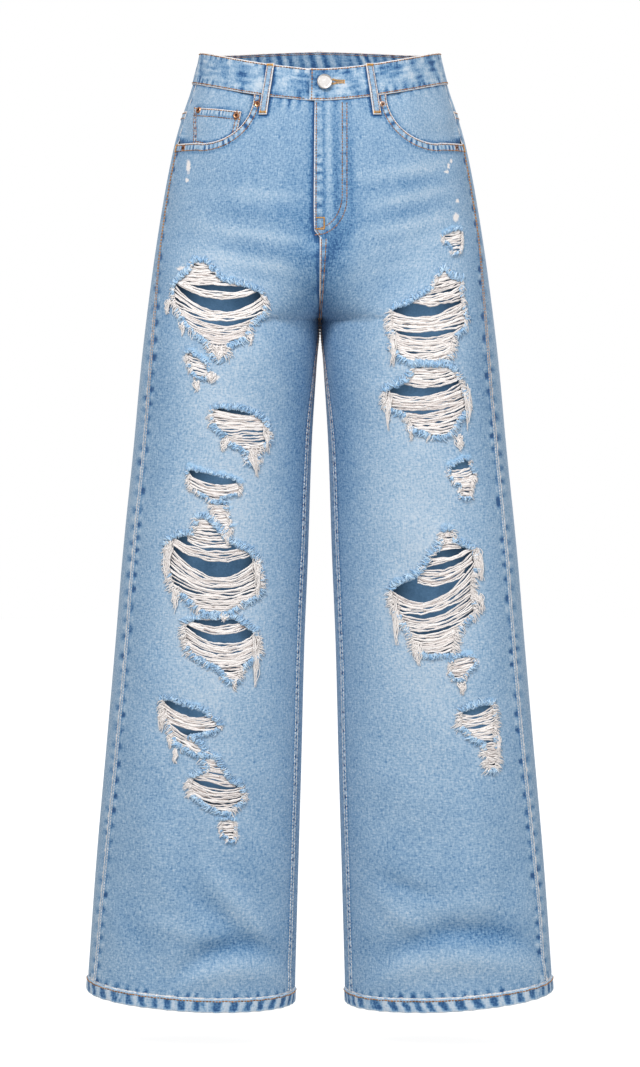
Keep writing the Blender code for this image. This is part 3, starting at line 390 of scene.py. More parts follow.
# %% Shared effect: patchy wear, which breaks a mask up so that it has no clean edge
def patchy_wear():
    inputs = {"Vector": ("Vector", None), "Mask": ("Float", 0.5), "Patch Scale": ("Float", 400.0)}
    tree, source, result = new_group("patchy_wear", inputs, {"Wear": "Float"})
    sized = node(tree, "ShaderNodeTexNoise", {
        "Vector": source.outputs["Vector"], "Scale": source.outputs["Patch Scale"],
        "Detail": 3.0, "Roughness": 0.7,
    }).outputs["Fac"]
    low = maths(tree, "SUBTRACT", 1.0, source.outputs["Mask"])
    span = maths(tree, "MULTIPLY_ADD", low, 0.5, 0.24)
    worn = node(tree, "ShaderNodeMapRange", {
        "Value": sized, "From Min": span, "From Max": maths(tree, "ADD", span, 0.16),
    }).outputs["Result"]
    faded = maths(tree, "MULTIPLY", worn, maths(tree, "MULTIPLY", source.outputs["Mask"], 4.0, clamp=True))
    tree.links.new(faded, result.inputs["Wear"])
    return tree


# %% Shared effect: a twisted ply, the slanting strands of any thread
def twisted_ply():
    inputs = {"Vector": ("Vector", None), "Scale": ("Float", 1500.0)}
    tree, source, result = new_group("twisted_ply", inputs, {"Ply": "Float"})
    strands = node(tree, "ShaderNodeTexNoise", {
        "Vector": source.outputs["Vector"], "Scale": source.outputs["Scale"], "Detail": 2.0, "Roughness": 0.6,
    }).outputs["Fac"]
    tree.links.new(strands, result.inputs["Ply"])
    return tree


GRAIN, WEAR, PLY = woven_grain(), patchy_wear(), twisted_ply()
print("shared effects:", GRAIN.name, WEAR.name, PLY.name)


# %% Colours of the cloth, from deep indigo that never faded to bare weft (linear)
DEEP = (0.026, 0.092, 0.235, 1)
DARK = (0.098, 0.228, 0.412, 1)
MIDDLE = (0.218, 0.356, 0.525, 1)
PALE = (0.355, 0.490, 0.632, 1)
FADED = (0.530, 0.615, 0.705, 1)
BARE_WEFT = (0.800, 0.765, 0.750, 1)
SKY = (0.330, 0.550, 0.780, 1)
# The near-black below is painted shadow for the inside of the trousers, round the painted pools of light.
INSIDE_PAINTED_SHADOW = (0.010, 0.020, 0.034, 1)
INSIDE_DARK, INSIDE_PALE = (0.085, 0.190, 0.330, 1), (0.220, 0.420, 0.660, 1)


def colour_ramp(tree, value, stops):
    made = node(tree, "ShaderNodeValToRGB", {0: value})
    while len(made.color_ramp.elements) < len(stops):
        made.color_ramp.elements.new(0.5)
    for element, (place, colour) in zip(made.color_ramp.elements, stops):
        element.position, element.color = place, colour
    return made.outputs["Color"]


def attribute(tree, name):
    return node(tree, "ShaderNodeAttribute", attribute_name=name)


def mix(tree, factor, a, b):
    return node(tree, "ShaderNodeMix", {0: factor, 6: a, 7: b}, data_type="RGBA").outputs[2]


def new_material(name, roughness, metallic=0.0, sheen=0.0):
    made = bpy.data.materials.new(name)
    made.use_nodes = True
    shader = made.node_tree.nodes["Principled BSDF"]
    shader.inputs["Roughness"].default_value = roughness
    shader.inputs["Metallic"].default_value = metallic
    shader.inputs["Sheen Weight"].default_value = sheen
    shader.inputs["Specular IOR Level"].default_value = 0.5 if metallic else 0.22
    return made, made.node_tree, shader


def bump(tree, shader, height, distance, strength=1.0):
    made = node(tree, "ShaderNodeBump", {"Height": height, "Distance": distance, "Strength": strength})
    tree.links.new(made.outputs["Normal"], shader.inputs["Normal"])


# %% The outside of the denim
def worn_denim():
    made, tree, shader = new_material("worn_denim", 0.86, sheen=0.12)
    place = attribute(tree, "cloth").outputs["Vector"]
    grain = node(tree, "ShaderNodeGroup", {"Vector": place}, node_tree=GRAIN)
    clouds = noise(tree, place, (26, 17, 1), 3.0, 0.6)
    flecks = noise(tree, place, (95, 70, 1), 2.0, 0.6)
    tone = maths(tree, "MULTIPLY_ADD", attribute(tree, "tone").outputs["Fac"], 0.5, 0.29)
    for part, share in ((clouds, 0.26), (flecks, 0.16), (grain.outputs["Grain"], 0.85)):
        tone = maths(tree, "MULTIPLY_ADD", part, share, tone)
    stops = [(0.0, DEEP), (0.26, DARK), (0.5, MIDDLE), (0.74, PALE), (1.0, FADED)]
    colour = colour_ramp(tree, tone, stops)
    fluff = attribute(tree, "fluff").outputs["Fac"]
    colour = mix(tree, maths(tree, "MULTIPLY", fluff, 0.85, clamp=True), colour, SKY)
    cream = attribute(tree, "cream").outputs["Fac"]
    worn = node(tree, "ShaderNodeGroup", {"Vector": place, "Mask": cream}, node_tree=WEAR)
    colour = mix(tree, worn.outputs["Wear"], colour, BARE_WEFT)
    tree.links.new(colour, shader.inputs["Base Color"])
    bump(tree, shader, grain.outputs["Height"], 0.35 * MM, 0.6)
    return made


# %% The inside of the denim, which shows through the rips and at the waist. It glows a little, a painted light.
def inner_denim_painted_light():
    made, tree, shader = new_material("inner_denim_painted_light", 0.9)
    place = attribute(tree, "cloth").outputs["Vector"]
    grain = node(tree, "ShaderNodeGroup", {"Vector": place, "Twill Pitch": 0.0013}, node_tree=GRAIN)
    clouds = noise(tree, place, (30, 22, 1), 2.0, 0.6)
    tone = maths(tree, "ADD", clouds, maths(tree, "MULTIPLY", grain.outputs["Grain"], 0.35))
    lit = colour_ramp(tree, tone, [(0.2, INSIDE_DARK), (0.8, INSIDE_PALE)])
    # the lining's tone numbers mix painted shadow with painted pools of light
    colour = mix(tree, attribute(tree, "tone").outputs["Fac"], INSIDE_PAINTED_SHADOW, lit)
    tree.links.new(colour, shader.inputs["Base Color"])
    # emission: the inside glows a little, painted light
    tree.links.new(colour, shader.inputs["Emission Color"])
    shader.inputs["Emission Strength"].default_value = 0.40
    bump(tree, shader, grain.outputs["Height"], 0.3 * MM, 0.5)
    return made


# %% Threads and yarns: two tones set by the yarn's own shade, broken up by its ply
def thread_material(name, dark, pale, scale=1500.0, low_dark=None, low_pale=None, painted_glow=0.0):
    """A thread. The low colours, where given, are those it has down the leg, below the knee. Its glow is
    emission, a painted light.
    """
    made, tree, shader = new_material(name, 0.8, sheen=0.1)
    place = node(tree, "ShaderNodeTexCoord").outputs["Object"]
    ply = node(tree, "ShaderNodeGroup", {"Vector": place, "Scale": scale}, node_tree=PLY).outputs["Ply"]
    own = attribute(tree, "shade").outputs["Fac"]
    shade = maths(tree, "MULTIPLY_ADD", maths(tree, "SUBTRACT", ply, 0.5), 1.1, own)
    shade = maths(tree, "ADD", shade, 0.0, clamp=True)
    colour = mix(tree, shade, dark, pale)
    if low_dark:
        height = node(tree, "ShaderNodeSeparateXYZ", {0: place}).outputs[2]
        span = {"Value": height, "From Min": -0.23, "From Max": -0.45}
        low = node(tree, "ShaderNodeMapRange", span).outputs["Result"]
        colour = mix(tree, low, colour, mix(tree, shade, low_dark, low_pale))
    tree.links.new(colour, shader.inputs["Base Color"])
    tree.links.new(colour, shader.inputs["Emission Color"])
    shader.inputs["Emission Strength"].default_value = painted_glow
    bump(tree, shader, ply, 0.15 * MM, 0.6)
    return made


# %% Metals: brushed and a little worn
def metal_material(name, dark, pale, roughness, middle=None):
    """A metal. middle, where given, is the middle of a rivet, round which a tarnished ring lies."""
    made, tree, shader = new_material(name, roughness, 1.0)
    place = node(tree, "ShaderNodeTexCoord").outputs["Object"]
    patches = {"Vector": place, "Mask": 0.35, "Patch Scale": 420.0}
    worn = node(tree, "ShaderNodeGroup", patches, node_tree=WEAR)
    colour = mix(tree, worn.outputs["Wear"], dark, pale)
    if middle is not None:
        ends = {0: place, 1: tuple(middle)}
        gap = node(tree, "ShaderNodeVectorMath", ends, operation="DISTANCE").outputs["Value"]
        rings = colour_ramp(tree, maths(tree, "DIVIDE", gap, 4 * MM), [
            (0.22, (0, 0, 0, 1)), (0.32, (1, 1, 1, 1)), (0.42, (1, 1, 1, 1)), (0.52, (0, 0, 0, 1)),
            (0.84, (0, 0, 0, 1)), (0.95, (0.8, 0.8, 0.8, 1)),
        ])
        colour = mix(tree, rings, colour, (0.05, 0.02, 0.012, 1))
    tree.links.new(colour, shader.inputs["Base Color"])
    rough = maths(tree, "MULTIPLY_ADD", worn.outputs["Wear"], 0.14, roughness)
    tree.links.new(rough, shader.inputs["Roughness"])
    bump(tree, shader, worn.outputs["Wear"], 0.02 * MM, 0.3)
    return made


DENIM, INSIDE = worn_denim(), inner_denim_painted_light()
TAN_THREAD = thread_material(
    "tan_thread", (0.20, 0.085, 0.030, 1), (0.58, 0.30, 0.12, 1),
    low_dark=(0.40, 0.42, 0.44, 1), low_pale=(0.80, 0.81, 0.83, 1),
)
# the orange thread and the bare weft glow a little: painted light
ORANGE_THREAD = thread_material("orange_thread", (0.52, 0.20, 0.025, 1), (0.95, 0.50, 0.10, 1), painted_glow=0.10)
BROWN_THREAD = thread_material("brown_thread", (0.075, 0.030, 0.014, 1), (0.56, 0.26, 0.085, 1))
WEFT = thread_material("bare_weft", (0.44, 0.37, 0.345, 1), (0.88, 0.840, 0.815, 1), 900.0, painted_glow=0.04)
WARP = thread_material("frayed_warp", (0.170, 0.370, 0.620, 1), (0.580, 0.750, 0.900, 1), 900.0)
NICKEL = metal_material("nickel", (0.62, 0.60, 0.58, 1), (0.86, 0.85, 0.84, 1), 0.42)
print("finishes:", [m.name for m in bpy.data.materials])

# %% [markdown]
# ## Cutting cloth
#
# A panel is an outline on the flattened form, filled with triangles, with the rips cut out of it. A
# Delaunay fill takes any outline and any hole, and lets the grid be fine only where the cloth has fine
# relief: along seams, where the stitching gathers it, and round the rips. A Boolean cut of a grid would
# leave slivers along every torn edge.


# %% Lines on the flattened cloth: how far is a place from one, and how far along it
def flattened(loop):
    return np.array([(u * ARC, z) for u, z in loop], float).reshape(-1, 2)


def flat_at(x, z):
    """Flattened places on a front, from x and z in millimetres."""
    return np.stack([u_at(np.abs(x) * MM, z * MM) * ARC, z * MM], axis=-1)


def respaced(line, step):
    """The same line with points about step apart, its own points kept."""
    made = []
    for a, b in zip(line, line[1:]):
        count = max(int(math.ceil(np.linalg.norm(b - a) / step)), 1)
        made += [a + (b - a) * i / count for i in range(count)]
    return np.array([*made, line[-1]])


def tree_of(places):
    """A search tree over flattened places."""
    tree = KDTree(len(places))
    for i, (x, z) in enumerate(places):
        tree.insert((x, z, 0), i)
    tree.balance()
    return tree


class Track:
    """A line that can be asked how near a place is, and how far along."""

    def __init__(self, line, step=0.6 * MM):
        self.line = respaced(np.asarray(line, float), step)
        gaps = np.linalg.norm(np.diff(self.line, axis=0), axis=1)
        self.length = np.concatenate([[0], np.cumsum(gaps)])
        self.tree = tree_of(self.line)

    def nearest(self, flat):
        """Distance to the line, and length along it, for each place."""
        found = [self.tree.find((x, z, 0))[1:] for x, z in flat]
        index = np.array([i for i, _ in found])
        return np.array([d for _, d in found]), self.length[index], index


def inside(points, outline):
    x, y = points[:, 0], points[:, 1]
    result = np.zeros(len(points), bool)
    for (ax, ay), (bx, by) in zip(outline, np.roll(outline, -1, axis=0)):
        if ay != by:
            result ^= ((ay > y) != (by > y)) & (x < (bx - ax) * (y - ay) / (by - ay) + ax)
    return result


def signed_area(loop):
    return sum(a[0] * b[1] - b[0] * a[1] for a, b in zip(loop, np.roll(loop, -1, axis=0))) / 2


def side_normals(line, closed):
    """Unit normals of a line's points, to the left of its direction."""
    before = line - np.roll(line, 1, axis=0)
    after = np.roll(line, -1, axis=0) - line
    if not closed:
        before[0], after[-1] = after[0], before[-1]
    made = []
    for edge in (before, after):
        edge = edge / np.maximum(np.linalg.norm(edge, axis=1, keepdims=True), 1e-9)
        made.append(np.stack([-edge[:, 1], edge[:, 0]], axis=1))
    middle = made[0] + made[1]
    return middle / np.maximum((middle * made[0]).sum(axis=1, keepdims=True), 0.4)


def moved_in(loop, distance):
    """A closed loop moved in by a distance."""
    return loop + side_normals(loop, True) * distance * np.sign(signed_area(loop))


def outward(loop):
    """Unit normals that point out of a closed loop."""
    normal = -side_normals(loop, True) * np.sign(signed_area(loop))
    return normal / np.linalg.norm(normal, axis=1, keepdims=True)


def beside(line, distance):
    """An open line moved to its left by a distance, resampled first so that corners stay soft."""
    fine = respaced(np.asarray(line, float), 4 * MM)
    return fine + side_normals(fine, False) * distance


# %% Fill an outline with triangles, finer near the marked tracks
def grid_over(outline, spacing):
    low, high = outline.min(axis=0), outline.max(axis=0)
    rows = np.arange(low[1], high[1], spacing * 0.87)
    across = np.arange(low[0], high[0], spacing)
    points = []
    for i, z in enumerate(rows):
        points.append(np.stack([across + (i % 2) * spacing / 2, np.full(len(across), z)], axis=1))
    return np.concatenate(points)


def filled(loops, coarse, fine, reach, fine_tracks):
    """Places and triangles that fill the first loop less the others."""
    edge, holes = loops[0], loops[1:]
    far_away = np.array([[99.0, 99.0]])
    near, rim = tree_of(np.concatenate([far_away, *fine_tracks])), tree_of(np.concatenate(loops))
    sets = []
    for points, close in ((grid_over(edge, fine), True), (grid_over(edge, coarse), False)):
        points = points[inside(points, edge)]
        far = np.array([near.find((x, z, 0))[2] for x, z in points])
        points = points[far < reach] if close else points[far >= reach - 0.3 * fine]
        gap = np.array([rim.find((x, z, 0))[2] for x, z in points])
        points = points[gap > (0.8 * fine if close else 0.62 * coarse)]
        for hole in holes:
            points = points[~inside(points, hole)]
        sets.append(points)
    every = np.concatenate([*loops, *sets])
    edges, start = [], 0
    for loop in loops:
        edges += [(start + i, start + (i + 1) % len(loop)) for i in range(len(loop))]
        start += len(loop)
    made = delaunay_2d_cdt([Vector(p) for p in every], edges, [], 0, 1e-7)
    flat, triangles = np.array([tuple(p) for p in made[0]]), np.array(made[2])
    corner = flat[triangles]
    b, c = corner[:, 1] - corner[:, 0], corner[:, 2] - corner[:, 0]
    wanted = np.abs(b[:, 0] * c[:, 1] - b[:, 1] * c[:, 0]) > 1e-10
    middles = corner.mean(axis=1)
    wanted &= inside(middles, edge)
    for hole in holes:
        wanted &= ~inside(middles, hole)
    triangles = triangles[wanted]
    used = np.unique(triangles)
    renumbered = np.zeros(len(flat), int)
    renumbered[used] = np.arange(len(used))
    return flat[used], renumbered[triangles]


# %% Make an object from points and faces, with the cloth's own numbers on it
def linked(name, data):
    """A new object in the scene."""
    made = bpy.data.objects.new(name, data)
    bpy.context.scene.collection.objects.link(made)
    return made


def add_object(name, points, faces, materials, numbers=None, flat=None, of_face=None, sharp=50):
    mesh = bpy.data.meshes.new(name)
    mesh.from_pydata(np.asarray(points).tolist(), [], [tuple(f) for f in faces])
    for made in materials:
        mesh.materials.append(made)
    if of_face is not None:
        mesh.polygons.foreach_set("material_index", np.asarray(of_face, np.int32))
    for label, values in (numbers or {}).items():
        mesh.attributes.new(label, "FLOAT", "POINT").data.foreach_set("value", np.asarray(values, np.float32))
    if flat is not None:
        place = np.concatenate([flat, np.zeros((len(flat), 1))], axis=1).astype(np.float32)
        mesh.attributes.new("cloth", "FLOAT_VECTOR", "POINT").data.foreach_set("vector", place.ravel())
    mesh.shade_smooth()
    mesh.set_sharp_from_angle(angle=math.radians(sharp))
    return linked(name, mesh)


def finish_piece(piece, slot, *nodes):
    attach(piece, BODY)
    if nodes:
        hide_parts(*nodes)
    piece.data.calc_loop_triangles()
    print(f"{piece.name}: {len(piece.data.loop_triangles)} triangles")
    return piece


# %% [markdown]
# ## How an edge of a panel looks
#
# A jeans seam is folded and stitched, and then washed hard. The fold makes a low ridge, the stitching
# gathers the cloth beside it into small puckers, and the wash rubs the high spots pale and leaves the low
# ones dark. Each named edge of a panel gets those three things from one row of numbers, and the waves are
# uneven on purpose. An edge with no cream, which lies under another piece, also gets a dark line of painted
# shadow along it.

# %% Edge finishes, in millimetres; gain is how strongly the puckers show in the dye
Finish = namedtuple("Finish", "ridge_width ridge_height pitch depth start end gain cream")
FINISHES = {
    "outseam": Finish(6.6, 0.5, 18.5, 0.9, 5, 13, 1.20, 1.2),
    "back_outseam": Finish(0.0, 0.0, 17.5, 0.7, 0, 13, 1.10, 0.9),
    "inseam": Finish(8.0, 0.6, 8.0, 0.55, 1, 8, 1.60, 1.2),
    "back_inseam": Finish(0.0, 0.0, 12.0, 0.5, 0, 9, 0.60, 0.9),
    "mouth": Finish(10.0, 0.8, 8.4, 0.6, 2, 9.5, 2.20, 2.4),
    "waist": Finish(0.0, 0.0, 14.0, 0.8, 0, 13, 0.95, 0.0),
    "waist_soft": Finish(0.0, 0.0, 21.0, 0.5, 0, 11, 0.45, 0.0),
    "centre_left": Finish(10.0, 0.7, 12.0, 0.6, 1, 10, 0.75, 1.7),
    "centre_right": Finish(0.0, 0.0, 21.0, 0.4, 0, 20, 0.60, 0.0),
    "back_centre_left": Finish(9.0, 0.6, 15.0, 0.5, 2, 12, 0.70, 1.4),
    "back_centre_right": Finish(0.0, 0.0, 15.0, 0.5, 0, 10, 0.65, 0.8),
    "hem": Finish(0.0, 0.0, 10.5, 0.6, 0, 8, 1.55, 1.6),
    "yoke": Finish(9.0, 0.6, 14.0, 0.5, 2, 12, 0.70, 1.4),
    "yoke_foot": Finish(0.0, 0.0, 14.0, 0.5, 0, 9, 0.65, 0.8),
    "pocket": Finish(9.0, 0.4, 9.0, 0.4, 2, 9, 0.75, 1.6),
    "coin": Finish(7.5, 0.4, 6.4, 0.3, 1.5, 7.5, 1.90, 2.3),
}


def uneven(along, pitch, seed):
    """A wave of about one pitch, whose beats come early or late and strong or weak."""
    drift = 0.30 * waves(along, 0 * along, 5.5 * pitch, seed, 5)
    strength = 0.72 + 0.38 * waves(along, 0 * along, 2.6 * pitch, seed + 1, 5)
    return np.sin(2 * math.pi * (along / pitch + drift)) * np.clip(strength, 0.15, 1.3)


def edge_effect(finish, distance, along, seed):
    """Height, tone and cream that an edge gives to the cloth beside it."""
    d = distance / MM
    height = finish.ridge_height * MM * (1 - smoothstep((d - finish.ridge_width + 1.2) / 1.4))
    height = height * (finish.ridge_width > 0)
    middle, half = (finish.start + finish.end) / 2, (finish.end - finish.start) / 2
    fall = ((d - middle) / half) ** 2 if finish.start else d / finish.end
    band = np.clip(1 - fall, 0, 1)
    wave = uneven(along, finish.pitch * MM, seed)
    height = height + finish.depth * MM * 0.5 * wave * band
    tone = finish.gain * (0.40 * np.clip(wave, 0, 1.2) - 1.1 * np.clip(-wave - 0.10, 0, 1.2)) * band**0.6
    if finish.ridge_width:
        tone = tone - 0.45 * np.exp(-(((d - finish.ridge_width - 0.6) / 1.5) ** 2))
        tone = tone + 0.14 * (1 - smoothstep((d - finish.ridge_width + 1.5) / 1.5))
    cream = np.clip(1.15 - d / max(finish.cream, 0.01), 0, 1) if finish.cream else 0 * d
    # an edge with no cream lies under another piece: the dark line along it is painted shadow
    if not finish.cream:
        tone = tone - 0.75 * np.exp(-((d / 1.6) ** 2))
    return height, tone, cream


# %% [markdown]
# ## Fades and painted shade
#
# The dye wears off where a leg rubs and stays where cloth is folded away. So a jean is pale down the front
# of each leg and over the seat, dark along its seams and at the crotch, and has level whiskers across the
# lap, where it creases when the wearer sits. Some dark ellipses are painted shade: in the cleft at the
# crotch, beside the fly, and under the folds over the feet. Each fade is a soft ellipse with a strength,
# listed one by one.

# %% Fades and painted shade: x is the distance from the centre plane; a strength below 0 is darker
Fade = namedtuple("Fade", "side face x z tilt length width height")
FADES_AND_SHADES = [Fade(*row) for row in [
    (0, 1, 108, -440, 88, 250, 52, 0.30), (0, 1, 122, -660, 88, 150, 50, 0.22),
    # the dark at the crotch (x 8) is partly dye that stays there and partly painted shade of the cleft
    (0, 1, 104, -150, 0, 70, 50, -0.06), (0, 1, 8, -250, 90, 110, 26, -0.30),
    (0, 1, 22, -420, 86, 150, 26, -0.22), (0, 1, 180, -330, 84, 160, 22, -0.10),
    (-1, 1, 66, -190, 8, 66, 6, 0.32), (-1, 1, 68, -207, 8, 62, 6, -0.14), (-1, 1, 74, -222, 10, 66, 7, 0.28),
    (-1, 1, 62, -146, 4, 60, 8, 0.22), (-1, 1, 58, -168, 6, 60, 6, -0.12), (-1, 1, 60, -246, 12, 54, 7, 0.14),
    (1, 1, 100, -118, 7, 58, 6, 0.30), (1, 1, 104, -133, 9, 56, 6, -0.14), (1, 1, 104, -148, 11, 58, 6, 0.30),
    (1, 1, 100, -165, 12, 56, 7, -0.12), (1, 1, 98, -180, 12, 60, 7, 0.28), (1, 1, 84, -204, 12, 56, 7, 0.14),
    (1, 1, 76, -228, 12, 50, 7, 0.12), (0, 1, 120, -1015, 4, 90, 20, 0.14),
    # painted shade under the folds over the feet
    (-1, 1, 100, -990, -6, 46, 15, -0.14), (1, 1, 158, -986, 10, 80, 14, -0.08),
    # painted shade: the thin dark line in the centre seam's cleft (x 2) and the dark band outside the fly's J
    # (x 34)
    (-1, 1, 2, -250, 90, 60, 3.0, -0.60), (1, 1, 10.5, -110, 90, 80, 2.6, 0.42),
    (1, 1, 17.5, -112, 90, 78, 4.5, -0.36), (1, 1, 34, -120, 90, 70, 3.5, -0.34),
    (1, 1, 16, -205, 60, 30, 9, -0.30), (0, -1, 96, -170, 10, 70, 60, 0.26),
    (0, -1, 118, -420, 86, 170, 46, 0.20), (0, -1, 126, -760, 88, 190, 50, 0.16),
    (0, -1, 10, -240, 90, 110, 26, -0.40), (0, -1, 118, -570, 0, 70, 46, 0.10),
    (0, -1, 118, -330, -8, 70, 8, 0.16), (-1, -1, 120, -574, 12, 66, 7, 0.26),
    (1, -1, 120, -563, -10, 66, 7, 0.26), (-1, -1, 126, -608, -4, 60, 7, 0.22),
    (1, -1, 124, -600, 6, 60, 7, 0.22), (-1, -1, 118, -590, 10, 60, 6, -0.22),
    (1, -1, 118, -580, -8, 60, 6, -0.22), (0, -1, 170, -1000, 4, 80, 22, -0.16),
    (0, -1, 20, -430, 86, 150, 26, -0.22),
]]


FADE_AND_SHADE_MIDDLES = middles(FADES_AND_SHADES)


def fade_and_shade_at(side, face, u, z):
    """Tone of the dye, with painted shade where the table and the creases put it. Side and face are where the
    place really is.
    """
    side, face, u, z = wrapped(side, face, u, z)
    at_side, at_inseam = np.exp(-((u / 0.13) ** 2)), np.exp(-(((1 - u) / 0.10) ** 2)) * (z < CROTCH)
    total = 0.04 + 0.26 * at_side - 0.16 * at_inseam
    for row, middle in FADE_AND_SHADE_MIDDLES:
        here = (face == row.face) & ((row.side == 0) | (side == row.side))
        total = total + np.where(here, 1.5 * row.height * ridge_at(row, u * ARC, z, middle), 0)
    # creases are paler on their ridges and darker in their troughs: partly the wash's own pattern, partly
    # painted shade of the folds
    return total + np.clip(crease_height(side, face, u, z) * 60, -0.34, 0.16)


print(len(FADES_AND_SHADES), "fades")


# %% Painted shadow beside and below each belt loop, where the loop shades the cloth
LOOP_WIDTH, LOOP_OVER, LOOP_DROP, LOOP_SIDE_U = 10.5 * MM, 0.5 * MM, 20 * MM, 0.28
LOOP_LENGTH = BAND_HEIGHT + LOOP_DROP + LOOP_OVER
LOOP_TOP_U, LOOP_FOOT_U = float(u_at(56 * MM, -20 * MM)), float(u_at(63 * MM, -56 * MM))


def painted_loop_shadow(side, face, u, z):
    """Painted shadow, as tone, beside and below the loops at a real side and face."""
    top_u, foot_u = (LOOP_TOP_U, LOOP_FOOT_U) if face > 0 else (LOOP_SIDE_U, LOOP_SIDE_U)
    down = (waist_top(face, top_u) + LOOP_OVER - z) / LOOP_LENGTH
    aside = (u - top_u - (foot_u - top_u) * down) * ARC - 0.6 * MM
    beyond = np.maximum(np.abs(aside) - LOOP_WIDTH / 2, 0)
    below = np.maximum(down - 1, 0) * LOOP_LENGTH
    return -1.5 * np.exp(-((beyond / (2.6 * MM)) ** 2) - (below / (2.8 * MM)) ** 2)


# %% The panel: one cut of cloth
class Panel:
    """A cut of cloth on the form. edges maps a name to a line of (u, z), in order round the piece."""

    def __init__(
        self, name, side, face, edges, finishes,
        holes=(), sink=None, lift=0.0, wall=1.1 * MM, under=None, shade=None,
    ):
        self.name, self.side, self.face, self.wall, self.lift = name, side, face, wall, lift
        self.sink, self.under, self.shade = sink, under, shade
        self.edges = {label: flattened(line) for label, line in edges.items()}
        loop = np.concatenate([respaced(line, 3.4 * MM)[:-1] for line in self.edges.values()])
        keep = np.linalg.norm(loop - np.roll(loop, -1, axis=0), axis=1) > 0.3 * MM
        self.loop = moved_in(loop[keep], 0.08 * MM)
        self.holes = [np.asarray(hole) for hole in holes]
        self.finishes = {label: FINISHES[kind] for label, kind in finishes.items()}
        self.tracks = {label: Track(self.edges[label]) for label in finishes}
        self.torn = None
        if self.holes:
            self.torn = Track(np.concatenate([np.vstack([h, h[:1]]) for h in self.holes]), 99)

    def torn_sides(self):
        """For each torn point, how far its outward direction points up (1) or down (-1)."""
        ups = []
        for hole in self.holes:
            up = outward(hole)[:, 1]
            ups += [*up, up[0]]
        return np.array(ups)

    def effects(self, flat):
        """Height, tone, cream and fluff at each flattened place."""
        u, z = flat[:, 0] / ARC, flat[:, 1]
        height, cream, fluff = np.zeros(len(u)), np.zeros(len(u)), np.zeros(len(u))
        tone = fade_and_shade_at(self.side, self.face, u, z)
        # the panel's own extra tone: painted shadow from an edge that laps over it, or the fly's wear checks
        if self.shade is not None:
            tone = tone + self.shade(u, z)
        # painted shadow beside and below the belt loops
        tone = tone + painted_loop_shadow(self.side, self.face, u, z)
        for i, (label, finish) in enumerate(self.finishes.items()):
            distance, along, _ = self.tracks[label].nearest(flat)
            up, shade, bare = edge_effect(finish, distance, along, 40 + 7 * i + 3 * (self.side > 0))
            height, tone, cream = height + up, tone + shade, np.maximum(cream, bare)
        if self.torn:
            distance, _, index = self.torn.nearest(flat)
            ups, d = self.torn_sides()[index], distance / MM
            lumps = waves(flat[:, 0], flat[:, 1], 4.2 * MM, 11) * 0.5 + 0.5
            level = np.where(ups > 0, smoothstep((ups - 0.25) / 0.25), smoothstep((-ups - 0.45) / 0.25))
            reach = np.where(ups > 0, 6.0, 4.5) * (0.72 + 0.35 * waves(flat[:, 0], flat[:, 1], 13 * MM, 12))
            band = 1 - smoothstep((d - reach + 1.2) / 1.6)
            fluff = np.clip(level * band * (0.55 + 0.55 * lumps), 0, 1)
            height = height + level * band * (0.5 + 0.7 * lumps) * MM
            side_reach = 3.4 + 2.2 * waves(flat[:, 0], flat[:, 1], 15 * MM, 13)
            cream = np.maximum(cream, (1 - level) * np.clip(1.25 - d / np.maximum(side_reach, 1.0), 0, 1))
            tone = tone + 0.12 * np.exp(-((d / 16) ** 2))
            tone = tone - 0.16 * level * np.exp(-(((d - reach - 0.8) / 1.5) ** 2))
        x = np.abs(bare_point(1, self.face, np.clip(u, 0, 1), z)[:, 0]) * self.side
        for scuff in SCUFFS if self.face > 0 else ():
            aside, up = (x / MM - scuff.x) / scuff.half_width, (z / MM - scuff.z) / scuff.half_height
            cream = np.maximum(cream, np.clip(1.5 - np.hypot(aside, up), 0, 1))
        return height, tone, cream, fluff

    def height(self, flat):
        total = self.effects(flat)[0] + self.lift
        if self.sink is not None:
            total = total - self.sink(flat[:, 0] / ARC, flat[:, 1])
        if self.under is not None:
            total = total + self.under.height(flat)
        return total

    def lining(self, u, z):
        """How much painted light the inside gets. The back's is painted shadow, but for painted pools of
        light below the rips' upper edges; the front's is a little lit all over.
        """
        pools = np.full(len(u), 0.0 if self.face < 0 else 0.4)
        if self.face < 0:
            x = np.abs(bare_point(1, -1, np.clip(u, 0, 1), z)[:, 0]) / MM
            for rip in RIPS.values():
                if rip.side == self.side:
                    around = np.array([abs(v) for row in rip.rows for v in (row.left, row.right)])
                    top, low = rip.rows[0].z, rip.rows[-1].z
                    middle, half = (around.min() + around.max()) / 2, (around.max() - around.min()) / 2
                    aside = (x - 1.04 * middle) / (0.75 * half + 4)
                    under = (z / MM - (0.42 * top + 0.58 * low)) / (0.36 * (top - low) + 2)
                    pools = np.maximum(pools, np.exp(-(aside**4) - np.abs(under) ** 2.6))
        return pools

    def place(self, flat, lift=0.0):
        """Points on the cloth's outer face, at flattened places."""
        flat = np.asarray(flat, float)
        return surface(self.side, self.face, flat[:, 0] / ARC, flat[:, 1], self.height(flat) + lift)

